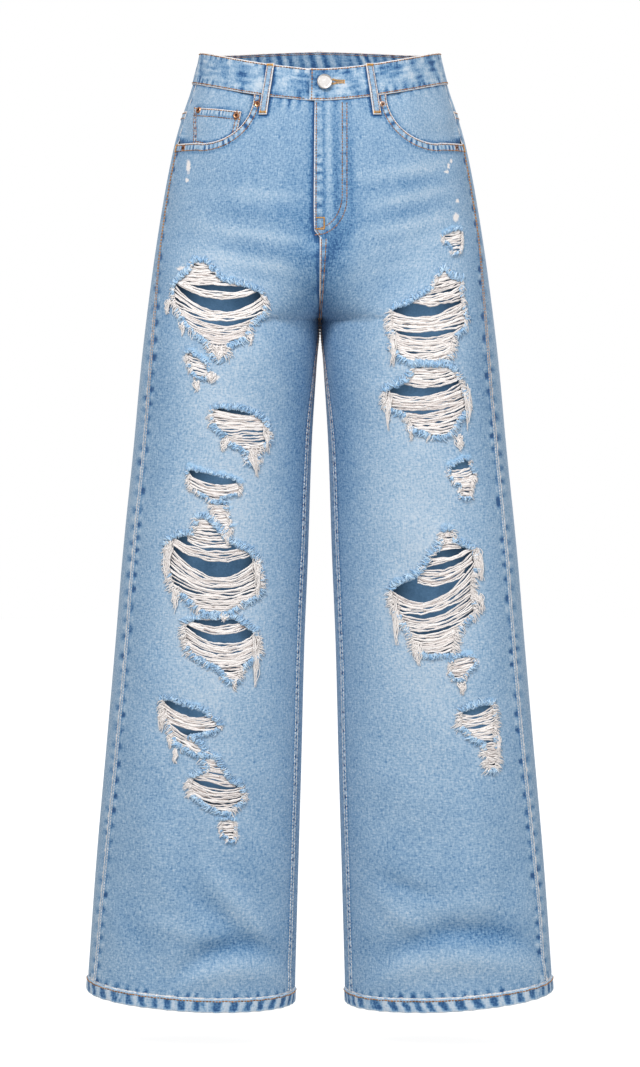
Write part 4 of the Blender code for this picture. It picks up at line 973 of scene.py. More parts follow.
    def build(self, coarse=4.6 * MM, fine=2.0 * MM, reach=15 * MM, rounded=0.35 * MM, extra=()):
        tracks = [track.line[::3] for track in self.tracks.values()]
        tracks += [hole[::2] for hole in self.holes] + list(extra)
        if not self.holes:
            tracks.append(moved_in(self.loop, 0.9 * MM))
        flat, triangles = filled([self.loop, *self.holes], coarse, fine, reach, tracks)
        corner = flat[triangles]
        turned = (corner[:, 1, 0] - corner[:, 0, 0]) * (corner[:, 2, 1] - corner[:, 0, 1])
        turned -= (corner[:, 2, 0] - corner[:, 0, 0]) * (corner[:, 1, 1] - corner[:, 0, 1])
        flip = (turned > 0) != (self.side * self.face < 0)
        triangles[flip] = triangles[flip][:, ::-1]
        count = len(flat)
        directed = {(t[i], t[(i + 1) % 3]) for t in triangles.tolist() for i in range(3)}
        rim = [(a, b) for a, b in directed if (b, a) not in directed]
        on_rim = np.zeros(count)
        on_rim[[a for a, _ in rim]] = 1
        up = self.height(flat)
        u, z = flat[:, 0] / ARC, flat[:, 1]
        outside = surface(self.side, self.face, u, z, up - rounded * on_rim)
        lining = surface(self.side, self.face, u, z, up - self.wall + 0.3 * rounded * on_rim)
        faces = [*triangles.tolist()] + [(c + count, b + count, a + count) for a, b, c in triangles.tolist()]
        faces += [(b, a, a + count, b + count) for a, b in rim]
        of_face = [0] * len(triangles) + [1] * len(triangles) + [0] * len(rim)
        _, tone, cream, fluff = self.effects(flat)
        # the inside's tone is its painted light and shadow, read by the inside's material
        numbers = {
            "tone": np.concatenate([tone, self.lining(u, z)]),
            "cream": np.tile(cream, 2), "fluff": np.tile(fluff, 2),
        }
        a, b, c = (outside[triangles[:, k]] for k in range(3))
        self.area = float(sum(np.linalg.norm(np.cross(b - a, c - a), axis=1)) / 2)
        points, both = np.concatenate([outside, lining]), np.tile(flat, (2, 1))
        return add_object(self.name + "_cloth", points, faces, [DENIM, INSIDE], numbers, both, of_face)


# %% Small worn spots on the fronts: middle and half sizes in millimetres
Scuff = namedtuple("Scuff", "x z half_width half_height")
SCUFFS = [Scuff(*row) for row in [
    (-147.5, -113, 2.6, 8.5), (-149, -128.5, 2.2, 2.6), (147, -107, 1.6, 3.0), (144, -113, 1.5, 4.0),
    (141.5, -119.5, 3.0, 2.0), (153.5, -151.5, 2.4, 2.8), (152, -170, 3.6, 5.5), (-154.5, -227.5, 6.5, 2.6),
    (-136, -359, 3.2, 5.2), (157, -423, 3.2, 6.0), (-116, -349, 5.0, 3.4),
]]

# %% [markdown]
# ## The rips
#
# Denim is white weft across and blue warp down. Where it is worn through, the short blue warp frays away
# first and the white weft stays, hanging across the hole in sagging bands. So each rip has two tables: the
# torn edge, as its left and right x at a height, and the bands, as the heights of the first and last yarn
# at both ends and the middle, with how many yarns lie between them. Sagging cords by simulation would pile
# up the same way every time.

# %% Rips in the fronts, in millimetres
Rip = namedtuple("Rip", "side rows bands")
Row = namedtuple("Row", "z left right")
Band = namedtuple("Band", "left left_top left_low right right_top right_low mid_top mid_low count")
RIP_TABLE = {
    "thigh_right": (-1, [
        (-220, -141, -128), (-230, -145, -119), (-241, -158, -109), (-247, -163, -85), (-254, -164, -66),
        (-266, -163, -62), (-279, -156, -63), (-287, -150, -77), (-297, -140, -81), (-305, -130, -85),
        (-312, -121, -104), (-326, -116, -104),
    ], [
        (-156, -220, -244, -83, -220, -247, -221, -246, 13),
        (-160, -239, -242, -69, -248, -251, -254, -261, 4),
        (-164, -242, -268, -62, -254, -273, -276, -285, 7),
        (-160, -269, -298, -61, -275, -303, -292, -314, 12),
        (-128, -314, -326, -100, -314, -326, -315, -327, 6),
    ]),
    "nick_right": (-1, [
        (-321, -149, -145), (-326, -148, -135), (-334, -146, -126), (-343, -141, -122), (-349, -138, -125),
    ], [
        (-156, -318, -343, -117, -332, -354, -326, -350, 12),
    ]),
    "inner_right": (-1, [
        (-382, -118, -107), (-388, -119, -75), (-397, -119, -64), (-404, -116, -58), (-412, -104, -55),
        (-421, -101, -60), (-426, -89, -64), (-432, -81, -69), (-444, -80, -69),
    ], [
        (-121, -382, -408, -55, -390, -407, -391, -408, 11),
        (-117, -408, -422, -55, -408, -426, -411, -426, 7), (-91, -427, -444, -61, -427, -444, -428, -445, 8),
    ]),
    "above_knee_right": (-1, [
        (-451, -148, -141), (-457, -147, -116), (-463, -147, -92), (-470, -145, -88), (-477, -135, -89),
        (-482, -125, -110), (-486, -122, -112),
    ], [
        (-150, -451, -473, -87, -464, -483, -468, -486, 9),
    ]),
    "scuff_right": (-1, [
        (-489, -122, -106), (-497, -120, -104), (-508, -117, -101), (-517, -109, -99), (-524, -107, -102),
    ], [
        (-128, -486, -524, -94, -486, -524, -487, -525, 20),
    ]),
    "knee_right": (-1, [
        (-505, -136, -127), (-514, -137, -118), (-523, -141, -110), (-528, -165, -108), (-537, -169, -93),
        (-546, -169, -77), (-555, -170, -71), (-570, -167, -68), (-584, -163, -66), (-593, -151, -71),
        (-602, -140, -89), (-609, -133, -98), (-612, -127, -104),
    ], [
        (-145, -505, -531, -102, -505, -537, -506, -538, 13),
        (-167, -526, -532, -75, -536, -544, -544, -553, 5),
        (-169, -531, -559, -69, -549, -570, -573, -584, 7),
        (-169, -560, -587, -66, -572, -589, -587, -598, 6),
        (-158, -584, -602, -71, -587, -602, -600, -612, 7),
    ]),
    "below_knee_right": (-1, [
        (-618, -138, -98), (-623, -149, -89), (-629, -151, -82), (-636, -151, -73), (-648, -149, -69),
        (-659, -142, -70), (-666, -129, -78), (-674, -113, -89), (-683, -106, -91), (-689, -102, -94),
    ], [
        (-149, -610, -616, -93, -611, -618, -617, -620, 3),
        (-151, -618, -622, -78, -618, -627, -628, -636, 5),
        (-154, -622, -654, -69, -632, -659, -648, -669, 12),
        (-117, -669, -692, -83, -665, -692, -670, -692, 10),
    ]),
    "shin_right": (-1, [
        (-710, -176, -169), (-717, -176, -151), (-724, -175, -130), (-732, -173, -121), (-738, -170, -114),
        (-745, -168, -116), (-751, -166, -147), (-759, -160, -140), (-765, -151, -133), (-772, -140, -126),
    ], [
        (-177, -710, -732, -113, -724, -744, -731, -744, 9),
        (-173, -733, -752, -125, -765, -776, -752, -767, 9),
    ]),
    "calf_right": (-1, [
        (-776, -133, -120), (-782, -128, -116), (-791, -125, -110), (-799, -145, -106), (-804, -145, -102),
        (-810, -145, -90), (-818, -144, -87), (-827, -132, -87), (-833, -123, -98), (-839, -111, -100),
    ], [
        (-139, -773, -799, -98, -781, -810, -776, -805, 14),
        (-147, -798, -824, -84, -810, -830, -813, -839, 11),
    ]),
    "tail_right": (-1, [
        (-847, -112, -97), (-857, -112, -96), (-866, -108, -96), (-872, -103, -98),
    ], [
        (-118, -847, -874, -91, -847, -874, -848, -875, 13),
    ]),
    "hip_left": (1, [
        (-183, 152, 157), (-189, 138, 158), (-197, 138, 158), (-202, 145, 158), (-208, 147, 156),
        (-211, 149, 152),
    ], [
        (135, -188, -207, 161, -181, -207, -188, -210, 11),
    ]),
    "thigh_left": (1, [
        (-230, 137, 141), (-237, 131, 144), (-242, 130, 158), (-251, 125, 156), (-259, 112, 157),
        (-267, 99, 159), (-273, 81, 160), (-283, 79, 163), (-294, 79, 159), (-303, 83, 149), (-312, 82, 146),
        (-318, 83, 146), (-325, 90, 141), (-331, 100, 141),
    ], [
        (118, -235, -256, 160, -227, -242, -232, -251, 11), (107, -257, -266, 159, -244, -259, -257, -268, 6),
        (78, -274, -294, 161, -261, -289, -282, -297, 9), (81, -296, -321, 159, -291, -314, -305, -326, 12),
        (90, -318, -334, 146, -313, -332, -326, -334, 5),
    ]),
    "mid_left": (1, [
        (-336, 106, 142), (-344, 102, 151), (-353, 99, 156), (-360, 80, 157), (-365, 73, 159),
        (-377, 74, 163), (-383, 77, 164), (-389, 96, 159), (-397, 100, 152), (-406, 103, 148),
        (-411, 121, 144), (-414, 125, 137),
    ], [
        (96, -334, -356, 155, -332, -350, -335, -360, 13), (72, -362, -384, 161, -351, -379, -370, -385, 8),
        (92, -387, -408, 159, -374, -408, -389, -412, 13),
    ]),
    "nick_left": (1, [
        (-440, 161, 166), (-445, 152, 167), (-449, 144, 168), (-459, 144, 173), (-464, 148, 170),
        (-470, 157, 169), (-483, 157, 168),
    ], [
        (141, -450, -466, 175, -441, -466, -452, -468, 8), (151, -468, -484, 174, -468, -484, -469, -484, 8),
    ]),
    "knee_left": (1, [
        (-519, 138, 145), (-533, 137, 148), (-541, 132, 170), (-551, 123, 173), (-562, 117, 173),
        (-572, 108, 170), (-580, 88, 169), (-587, 80, 169), (-602, 81, 170), (-611, 85, 173), (-620, 92, 164),
        (-631, 99, 152), (-642, 103, 151), (-654, 109, 148), (-659, 121, 146),
    ], [
        (130, -519, -542, 155, -519, -540, -519, -541, 12), (117, -547, -560, 170, -536, -541, -550, -554, 4),
        (112, -560, -571, 168, -544, -555, -563, -570, 4), (112, -573, -579, 159, -560, -569, -575, -581, 3),
        (79, -585, -607, 170, -555, -587, -599, -611, 7), (81, -608, -627, 170, -589, -611, -619, -631, 7),
        (90, -629, -654, 166, -614, -642, -637, -660, 12),
    ]),
    "strip_left": (1, [
        (-661, 156, 170), (-665, 148, 171), (-669, 146, 174), (-678, 146, 166), (-687, 149, 159),
    ], [
        (141, -664, -689, 179, -654, -678, -660, -687, 12),
    ]),
    "shin_left": (1, [
        (-716, 182, 192), (-723, 159, 194), (-732, 157, 195), (-741, 158, 196), (-746, 166, 195),
        (-753, 170, 193), (-760, 185, 196), (-771, 185, 198), (-782, 187, 198), (-791, 188, 195),
    ], [
        (152, -725, -741, 198, -715, -734, -728, -740, 7), (155, -742, -760, 199, -734, -760, -743, -756, 9),
        (183, -760, -792, 202, -760, -792, -761, -793, 15),
    ]),
}
RIPS = {
    name: Rip(side, [Row(*row) for row in rows], [Band(*band) for band in bands])
    for name, (side, rows, bands) in RIP_TABLE.items()
}
print(len(RIPS), "rips,", sum(band.count for rip in RIPS.values() for band in rip.bands), "weft yarns")


# %% The torn edge: a ragged, scalloped outline through the table's rows
def torn_loop(name, rip, step=1.5 * MM):
    around = [(row.left, row.z) for row in rip.rows] + [(row.right, row.z) for row in rip.rows[::-1]]
    flat = flat_at(*np.array(around, float).T)
    loop = respaced(np.vstack([flat, flat[:1]]), step)[:-1]
    rng = np.random.default_rng(len(name) + 31 * sum(map(ord, name)) % 997)
    along = np.arange(len(loop)) * step
    seed = int(rng.integers(1000))
    ragged = 0.55 * waves(along, 0 * along, 3.6 * MM, seed) + 0.45 * waves(along, 0 * along, 9 * MM, seed + 1)
    ragged = (ragged + rng.uniform(-0.25, 0.25, len(loop))) * MM
    soft = (loop + np.roll(loop, 1, axis=0) + np.roll(loop, -1, axis=0)) / 3
    return soft + side_normals(soft, True) * ragged[:, None]


TORN = {name: torn_loop(name, rip) for name, rip in RIPS.items()}


def torn_of(side):
    return [TORN[name] for name, rip in RIPS.items() if rip.side == side]


# %% [markdown]
# ## Fronts
#
# Each front is one cut: pocket mouth, waist, fly edge, inseam, hem and outseam. The wearer's left front
# laps over the right one at the fly, so the right one sinks under it.

# %% Edges of a front
FLY_LAP, FLY_UNDER, FLY_END = 6.5 * MM, 20 * MM, -190 * MM
MOUTH_X, MOUTH_Z, MOUTH_A, MOUTH_B = 131 * MM, -33 * MM, 58 * MM, 55 * MM
MOUTH_END_Z = -87 * MM


def mouth_line(grow=0.0):
    """The pocket mouth in (u, z), from the waist seam round and down to its lowest point."""
    turns = np.radians(np.arange(0, 91, 3))
    x = MOUTH_X - (MOUTH_A + grow) * np.cos(turns)
    z = MOUTH_Z - (MOUTH_B + grow) * np.sin(turns)
    u = u_at(x, z)
    keep = z < waist_seam(1, u) - 0.4 * MM
    return list(zip(u[keep], z[keep]))


def fly_depth(u, z):
    lap = smoothstep((u - 0.915) / 0.045)
    return 1.9 * MM * lap * smoothstep((z - (FLY_END - 26 * MM)) / (24 * MM))


def painted_lap_shadow(u, z):
    """Painted shadow in the lee of the left front's edge, which laps over this front."""
    gap = np.maximum((1 - u) * ARC - FLY_LAP, 0)
    lap = smoothstep((z - (FLY_END - 10 * MM)) / (20 * MM))
    return -lap * (1.6 * np.exp(-((gap / (2.0 * MM)) ** 2)) + 0.4 * np.exp(-((gap / (7 * MM)) ** 2)))


def placket_shade(u, z):
    """Checks between the two rows of the fly's stitching, down their straight part."""
    x = bare_point(1, 1, np.clip(u, 0, 1), z)[..., 0]
    straight = smoothstep((z + 166 * MM) / (14 * MM))
    check = np.clip(uneven(z, 9.5 * MM, 31) - 0.1, 0, 1) - 0.35 * np.clip(-uneven(z, 9.5 * MM, 31), 0, 1)
    return -0.75 * straight * check * np.exp(-(((x - 27 * MM) / (3.2 * MM)) ** 2))


def centre_heights(face, top):
    start = FRONT_CURVE_TOP if face > 0 else BACK_CURVE_TOP
    turns = np.radians(np.linspace(0, 90, 19))
    return [*np.arange(top, start, -12 * MM), *(start + (CROTCH - start) * np.sin(turns))]


def leg_edges(face, hem_name, inseam_name, outseam_name, outseam_top):
    """Inseam, hem and outseam, which fronts and backs share."""
    ways = 1 if face > 0 else -1
    foot_in = float(hem_line(1 - in_u(HEM_INNER))) + HEM_HEIGHT
    heights = np.append(np.arange(CROTCH - 4 * MM, foot_in, -14 * MM), foot_in)
    inseam = [(1.0, CROTCH)] + [(1 - ways * float(in_u(z)), z) for z in heights]
    ends = inseam[-1][0], ways * float(out_u(HEM_OUTER))
    hem = [(u, float(hem_line(u)) + HEM_HEIGHT) for u in np.linspace(*ends, 40)]
    outseam = [(ways * float(out_u(z)), z) for z in np.linspace(hem[-1][1], outseam_top, 60)]
    outseam[0] = hem[-1]
    return {inseam_name: inseam, hem_name: hem, outseam_name: outseam}


def front(side):
    mouth = mouth_line()
    corner = float(out_u(MOUTH_END_Z))
    start = float(u_at(MOUTH_X - MOUTH_A + 0.6 * MM, -38 * MM))
    past = 1 + (FLY_LAP if side > 0 else FLY_UNDER) / ARC
    level = [(u, MOUTH_END_Z) for u in np.linspace(corner, mouth[-1][0], 12)[:-1]]
    waist = [(u, float(waist_seam(1, u))) for u in np.linspace(start, past, 50)]
    centre = [(past, z) for z in np.arange(waist[-1][1], FLY_END + 4 * MM, -10 * MM)]
    centre += [(past, FLY_END + 4 * MM), (1.0, FLY_END - 4 * MM)]
    centre += [(1.0, z) for z in centre_heights(1, FLY_END - 12 * MM)]
    edges = {"mouth": level + mouth[::-1] + waist[:1], "waist": waist, "centre": centre}
    edges.update(leg_edges(1, "hem", "inseam", "outseam", MOUTH_END_Z))
    finishes = {
        "mouth": "mouth", "waist": "waist", "centre": "centre_" + SIDES[side],
        "inseam": "inseam", "hem": "hem", "outseam": "outseam",
    }
    under = {"sink": fly_depth, "shade": painted_lap_shadow} if side < 0 else {"shade": placket_shade}
    return Panel("front_" + SIDES[side], side, 1, edges, finishes, torn_of(side), **under)


# %% Build both fronts
FRONTS = {side: front(side) for side in (-1, 1)}
for side, panel in FRONTS.items():
    spots = [flat_at(s.x, s.z)[None] for s in SCUFFS if s.x * side > 0]
    by_loop = np.linspace((LOOP_TOP_U * ARC, -50 * MM), (LOOP_FOOT_U * ARC, -64 * MM), 8)
    finish_piece(panel.build(extra=[*spots, by_loop]), "denim", panel.name)

# %% [markdown]
# ## Backs, yokes and back pockets
#
# The back has no rips. A yoke shapes it over the seat, a felled seam joins the halves, and each half has a
# patch pocket. A patch is its own cut, laid on the panel's own relief so that it follows every fold under
# it.

# %% Build the backs, the yokes and the patch pockets
YOKE_SIDE, YOKE_BACK = -50 * MM, -78 * MM
POCKET_U, POCKET_TOP, POCKET_WIDTH, POCKET_DEPTH, POCKET_POINT = 0.55, -98 * MM, 148 * MM, 150 * MM, 18 * MM


def yoke_seam(u):
    return YOKE_SIDE + (YOKE_BACK - YOKE_SIDE) * np.maximum(u, 0)


def pocket_corners():
    half, low = POCKET_WIDTH / 2 / ARC, POCKET_TOP - POCKET_DEPTH
    narrow = 0.88 * half
    return [
        (POCKET_U - half, POCKET_TOP), (POCKET_U + half, POCKET_TOP - 4 * MM),
        (POCKET_U + narrow, low + POCKET_POINT), (POCKET_U, low), (POCKET_U - narrow, low + POCKET_POINT),
    ]


def yoke_line():
    """The yoke's seam on one half, from the side to the centre."""
    return [(u, float(yoke_seam(u))) for u in np.linspace(-float(out_u(YOKE_SIDE)), 1.0, 40)]


def back(side):
    edges = {"yoke": yoke_line(), "centre": [(1.0, z) for z in centre_heights(-1, YOKE_BACK)]}
    edges.update(leg_edges(-1, "hem", "inseam", "outseam", YOKE_SIDE))
    finishes = {
        "yoke": "yoke", "centre": "back_centre_" + SIDES[side],
        "inseam": "back_inseam", "hem": "hem", "outseam": "back_outseam",
    }
    return Panel("back_" + SIDES[side], side, -1, edges, finishes)


def yoke(side):
    lower = yoke_line()
    upper = [(u, float(waist_seam(-1, u))) for u in np.linspace(1.0, lower[0][0], 40)]
    edges = {"foot": lower, "centre": [lower[-1], upper[0]], "waist": upper, "side": [upper[-1], lower[0]]}
    finishes = {
        "foot": "yoke_foot", "centre": "back_centre_" + SIDES[side], "waist": "waist", "side": "back_outseam",
    }
    return Panel("yoke_" + SIDES[side], side, -1, edges, finishes)


def patch(name, panel, corners, finish, wall=1.2 * MM):
    """A pocket sewn on a panel: its outline's corners in (u, z)."""
    edges = {}
    for i, (a, b) in enumerate(zip(corners, corners[1:] + corners[:1])):
        edges[f"edge_{i}"] = [a, b]
    finishes = {label: finish for label in edges}
    return Panel(name, panel.side, panel.face, edges, finishes, lift=wall + 0.15 * MM, wall=wall, under=panel)


BACKS, YOKES, BACK_POCKETS, BACK_PIECES, YOKE_PIECES, POCKET_PIECES = {}, {}, {}, {}, {}, {}
for side, label in SIDES.items():
    BACKS[side], YOKES[side] = back(side), yoke(side)
    BACK_POCKETS[side] = patch("back_pocket_" + label, BACKS[side], pocket_corners(), "pocket")
    built = BACKS[side].build(coarse=6.2 * MM, fine=2.95 * MM)
    BACK_PIECES[side] = finish_piece(built, "denim", "back_" + label)
    YOKE_PIECES[side] = finish_piece(YOKES[side].build(), "denim", "yoke_" + label)
    POCKET_PIECES[side] = finish_piece(BACK_POCKETS[side].build(), "denim", "back_pocket_" + label)

# %% [markdown]
# ## Pocket facings and the coin pocket
#
# Inside each front pocket mouth shows a facing, set back under the front. On the wearer's right it carries
# the small coin pocket, which goes under the mouth's edge too.

# %% Build the facings and the coin pocket
FACING_UNDER, FACING_SETBACK, COIN_UNDER = 14 * MM, 2.6 * MM, 5 * MM


def mouth_ring(u, z):
    """1 on the pocket mouth's ellipse, and less inside it."""
    x = bare_point(1, 1, np.asarray(u), np.asarray(z))[..., 0]
    return np.hypot((x - MOUTH_X) / MOUTH_A, (z - MOUTH_Z) / MOUTH_B)


def facing_depth(u, z):
    ring = mouth_ring(u, z)
    from_side = smoothstep((u - out_u(z)) / 0.07)
    below = smoothstep((-z - 79 * MM) / (7 * MM))
    return FACING_SETBACK * np.maximum(smoothstep((ring - 0.5) / 0.35) * from_side, below)


def painted_mouth_shadow(u, z):
    """Painted shadow in the lee of the pocket's mouth, and the rest a little paler."""
    return -1.2 * np.exp(-(np.minimum(mouth_ring(u, z) - 1, 0) * MOUTH_A / (2.6 * MM)) ** 2) + 0.16


def coin_corners():
    a, b = MOUTH_A + COIN_UNDER, MOUTH_B + COIN_UNDER
    turns = [math.radians(degrees) for degrees in (54, 60, 66, 72, 78, 83, 88, 92)]
    under = [(MOUTH_X - a * math.cos(t), MOUTH_Z - b * math.sin(t)) for t in turns]
    top = [(139.5 * MM, -47 * MM), (115 * MM, -50 * MM), (88 * MM, -53.5 * MM)]
    return [(float(u_at(x, z)), z) for x, z in top + under + [(143 * MM, -91 * MM), (141 * MM, -65 * MM)]]


coin_line = coin_corners()
COIN_TRACK = Track(flattened(coin_line + coin_line[:1]))


def painted_coin_shadow(u, z):
    """The same, and painted shadow beside the coin pocket, which shades the cloth round it."""
    near, _, _ = COIN_TRACK.nearest(flattened(np.stack([u, z], axis=-1)))
    return painted_mouth_shadow(u, z) - 1.0 * np.exp(-((near / (2.4 * MM)) ** 2))


def facing(side):
    under = mouth_line(FACING_UNDER)
    corner = float(out_u(MOUTH_END_Z))
    first = float(u_at(MOUTH_X - MOUTH_A - FACING_UNDER + 1 * MM, -40 * MM))
    waist = [(u, float(waist_seam(1, u))) for u in np.linspace(corner, first, 24)]
    foot = [(u, MOUTH_END_Z - FACING_UNDER) for u in np.linspace(under[-1][0], corner, 12)]
    edges = {
        "waist": waist, "under": [waist[-1], *under[1:]], "foot": [under[-1], *foot[1:]],
        "outseam": [foot[-1], (corner, waist[0][1])],
    }
    finishes = {"waist": "waist_soft", "outseam": "back_outseam"}
    shade = painted_mouth_shadow if side > 0 else painted_coin_shadow
    return Panel("pocket_facing_" + SIDES[side], side, 1, edges, finishes, sink=facing_depth, shade=shade)


FACINGS = {side: facing(side) for side in (-1, 1)}
FACING_PIECES = {side: finish_piece(panel.build(), "denim", panel.name) for side, panel in FACINGS.items()}
coin_edges = {
    "top": coin_line[:3], "inner": coin_line[2:4],
    "under": coin_line[3:11], "outer": coin_line[10:] + coin_line[:1],
}
COIN = Panel(
    "coin_pocket", -1, 1, coin_edges, {"top": "coin", "inner": "coin", "outer": "coin"},
    lift=1.25 * MM, wall=1.1 * MM, under=FACINGS[-1], shade=painted_mouth_shadow,
)
coin_piece = finish_piece(COIN.build(coarse=2.4 * MM, fine=1.4 * MM), "denim", "coin_pocket")

# %% [markdown]
# ## Waistband, hems and belt loops
#
# These are strips folded double, so they are thicker and have round edges. Each is swept: one small closed
# section, repeated along the strip, with the puckers and the diagonal roping of a twisted hem put in as the
# section moves on.


# %% Sweep a closed section along a strip
def swept(name, rings, numbers, flat, closed):
    """rings is (sections, points of a section, 3). Sections are joined in order, and open ends capped."""
    count, size = rings.shape[:2]
    faces = []
    for i in range(count if closed else count - 1):
        n = (i + 1) % count
        for j in range(size):
            k = (j + 1) % size
            faces.append((i * size + j, i * size + k, n * size + k, n * size + j))
    if not closed:
        faces += [tuple(range(size))[::-1], tuple((count - 1) * size + j for j in range(size))]
    numbers = {label: np.ravel(values) for label, values in numbers.items()}
    made = add_object(name, rings.reshape(-1, 3), faces, [DENIM], numbers, flat.reshape(-1, 2), sharp=60)
    shape = bmesh.new()
    shape.from_mesh(made.data)
    bmesh.ops.recalc_face_normals(shape, faces=shape.faces)
    shape.to_mesh(made.data)
    shape.free()
    return made


def section(height, outer, inner, roundness, rows):
    """A flat closed section as (up, out, on the outer face): up runs from 0 to height."""
    ups = np.linspace(roundness, height - roundness, rows)
    middle = (outer + inner) / 2
    half = (outer - inner) / 2
    turns = np.radians(np.linspace(75, -75, 5))
    made = [(up, outer, 1.0) for up in ups]
    made += [(height - roundness + roundness * math.cos(t), middle + half * math.sin(t), 0.6) for t in turns]
    made += [(up, inner, 0.0) for up in ups[::-1]]
    made += [(roundness - roundness * math.cos(t), middle + half * math.sin(t), 0.6) for t in turns[::-1]]
    return np.array(made)


# %% The waistband, one strip right round with its left end on top
BAND_OUT, BAND_IN = 1.0 * MM, -1.6 * MM
BAND_LAP_U, BAND_UNDER_U = 0.05, 0.15


def ring_place(ring):
    """Side, face and u round the waist: 0 is the centre front, 1 the left side, 2 the centre back."""
    side = np.where(ring < 2, 1, -1)
    face = np.where((ring < 1) | (ring >= 3), 1, -1)
    return side, face, np.select([ring < 1, ring < 2, ring < 3], [1 - ring, ring - 1, 3 - ring], ring - 3)


def band_point(ring, down, out):
    """Points of the waistband: down from its upper edge, out of its own face."""
    ring, down, out = np.broadcast_arrays(np.asarray(ring, float), down, out)
    side, face, u = ring_place(ring)
    sunk = 2.9 * MM * smoothstep((ring - 3.86) / 0.08)
    return surface(side, face, u, waist_top(face, u) - down, out - sunk)


def band_effect(s, down):
    """Height and tone on the waistband's outer face."""
    top_d, low_d = down, BAND_HEIGHT - down
    near_top, near_low = np.exp(-((top_d / (7 * MM)) ** 2)), np.exp(-((low_d / (8 * MM)) ** 2))
    wave = uneven(s, 10 * MM, 71) * near_low + uneven(s + 4 * MM, 11 * MM, 72) * near_top
    level = waves(s * 0.35, down * 1.6, 9 * MM, 73) * 0.5 + waves(s, down, 30 * MM, 75) * 0.5
    height = 0.35 * MM * wave + 0.35 * MM * level * (1 - near_top) * (1 - near_low)
    tone = 0.06 + 0.44 * np.clip(wave, 0, 1) - 1.35 * np.clip(-wave - 0.1, 0, 1)
    return height, tone + 0.78 * level * (1 - 0.5 * near_low)


def waistband():
    shape = section(BAND_HEIGHT - 0.3 * MM, BAND_OUT, BAND_IN, 0.9 * MM, 13)
    ring = np.arange(-BAND_LAP_U, 4 + BAND_UNDER_U, 0.0085)[:, None] + 0 * shape[:, 0]
    down = BAND_HEIGHT - 0.3 * MM - shape[:, 0] + 0 * ring
    face_out = np.broadcast_to(shape[:, 2] > 0.5, ring.shape)
    s_along = ring * ARC * 0.72
    height, tone = band_effect(s_along, down)
    rings = band_point(ring, down, shape[:, 1] + np.where(face_out, height, 0))
    edge = np.clip(1.5 - np.minimum(down, BAND_HEIGHT - down) / (1.3 * MM), 0, 1)
    side, face, u = ring_place(ring)
    # painted shadow beside the belt loops, on the waistband
    for s in (-1, 1):
        for f in (-1, 1):
            painted_shadow_by_loop = painted_loop_shadow(s, f, u, waist_top(f, u) - down)
            tone = tone + np.where((side == s) & (face == f), painted_shadow_by_loop, 0)
    puckers = 0.55 * uneven(s_along + 0.3 * down, 11.5 * MM, 77)
    # the inside face: puckers, and darker further down into the trousers, a painted shade
    inner = -0.20 + 1.7 * puckers - 0.35 * smoothstep((down - 12 * MM) / (10 * MM))
    numbers = {"tone": np.where(face_out, tone, inner), "cream": np.where(face_out, edge, 0.25 * edge)}
    flat = np.stack([s_along + 0.5 * (shape[:, 2] == 0), down], axis=-1)
    return swept("waistband_cloth", rings, numbers, flat, False)


band_piece = finish_piece(waistband(), "denim", "waistband")


# %% The hems: a roped edge comes from the top layer creeping ahead of the lower one as it is sewn
def hem_point(side, ring, up, out):
    """Points of a hem: round it from the outer side across the front, up from its foot, out of its face."""
    ring, up, out = np.broadcast_arrays(np.asarray(ring, float), up, out)
    u = np.where(ring <= 1, ring, 2 - ring)
    foot = hem_line(u) + 0.35 * MM * uneven(ring * ARC, 13.4 * MM, 81)
    return surface(side, np.where(ring <= 1, 1, -1), u, foot + up, out)


def hem_out(ring, up):
    """Height and tone of the roping at a place round the hem: up from the foot."""
    s = ring * ARC
    lean = 0.35 * (up - 6 * MM) * np.cos(ring * math.pi)
    wave = uneven(s + lean, 13.4 * MM, 81) + 0.22 * uneven(s - lean, 5.1 * MM, 82)
    body = smoothstep(up / (3.5 * MM)) * (1 - smoothstep((up - 11.5 * MM) / (2.5 * MM)))
    tone = 0.46 + body * (0.50 * np.clip(wave, 0, 1) - 1.35 * smoothstep((0.26 - wave) / 0.6))
    tone += 0.55 * (1 - smoothstep(up / (2.6 * MM)))
    return 0.42 * MM * wave * body, tone


def hem(side):
    shape = section(HEM_HEIGHT - 0.1 * MM, 1.0 * MM, -1.6 * MM, 1.2 * MM, 10)
    ring = np.linspace(0, 2, 280, endpoint=False)[:, None] + 0 * shape[:, 0]
    up, face_out = shape[:, 0] + 0 * ring, np.broadcast_to(shape[:, 2] > 0.5, ring.shape)
    height, tone = hem_out(ring + (0.37 if side > 0 else 0), up)
    rings = hem_point(side, ring, up, shape[:, 1] + np.where(face_out, height, 0))
    ticks = 0.5 + 0.6 * uneven(ring * ARC + 0.6 * up, 4.6 * MM, 83)
    foot_edge, top_edge = 0.75 - up / (2.4 * MM), ticks - (HEM_HEIGHT - up) / (1.3 * MM)
    edge = np.clip(np.maximum(foot_edge, top_edge), 0, 1)
    numbers = {"tone": np.where(face_out, tone, -0.3), "cream": edge * face_out}
    flat = np.stack([ring * ARC + 0.6 * (shape[:, 2] == 0), up], axis=-1)
    return swept(f"hem_{SIDES[side]}_cloth", rings, numbers, flat, True)


HEM_PIECES = {side: finish_piece(hem(side), "denim", "hem_" + label) for side, label in SIDES.items()}

# %% [markdown]
# ## Belt loops
#
# A loop is a folded strip tacked at the waistband's upper edge and again below its seam, so it steps down
# off the waistband. Its edges are worn pale, and its middle bulges a little between the two rows of
# stitching.

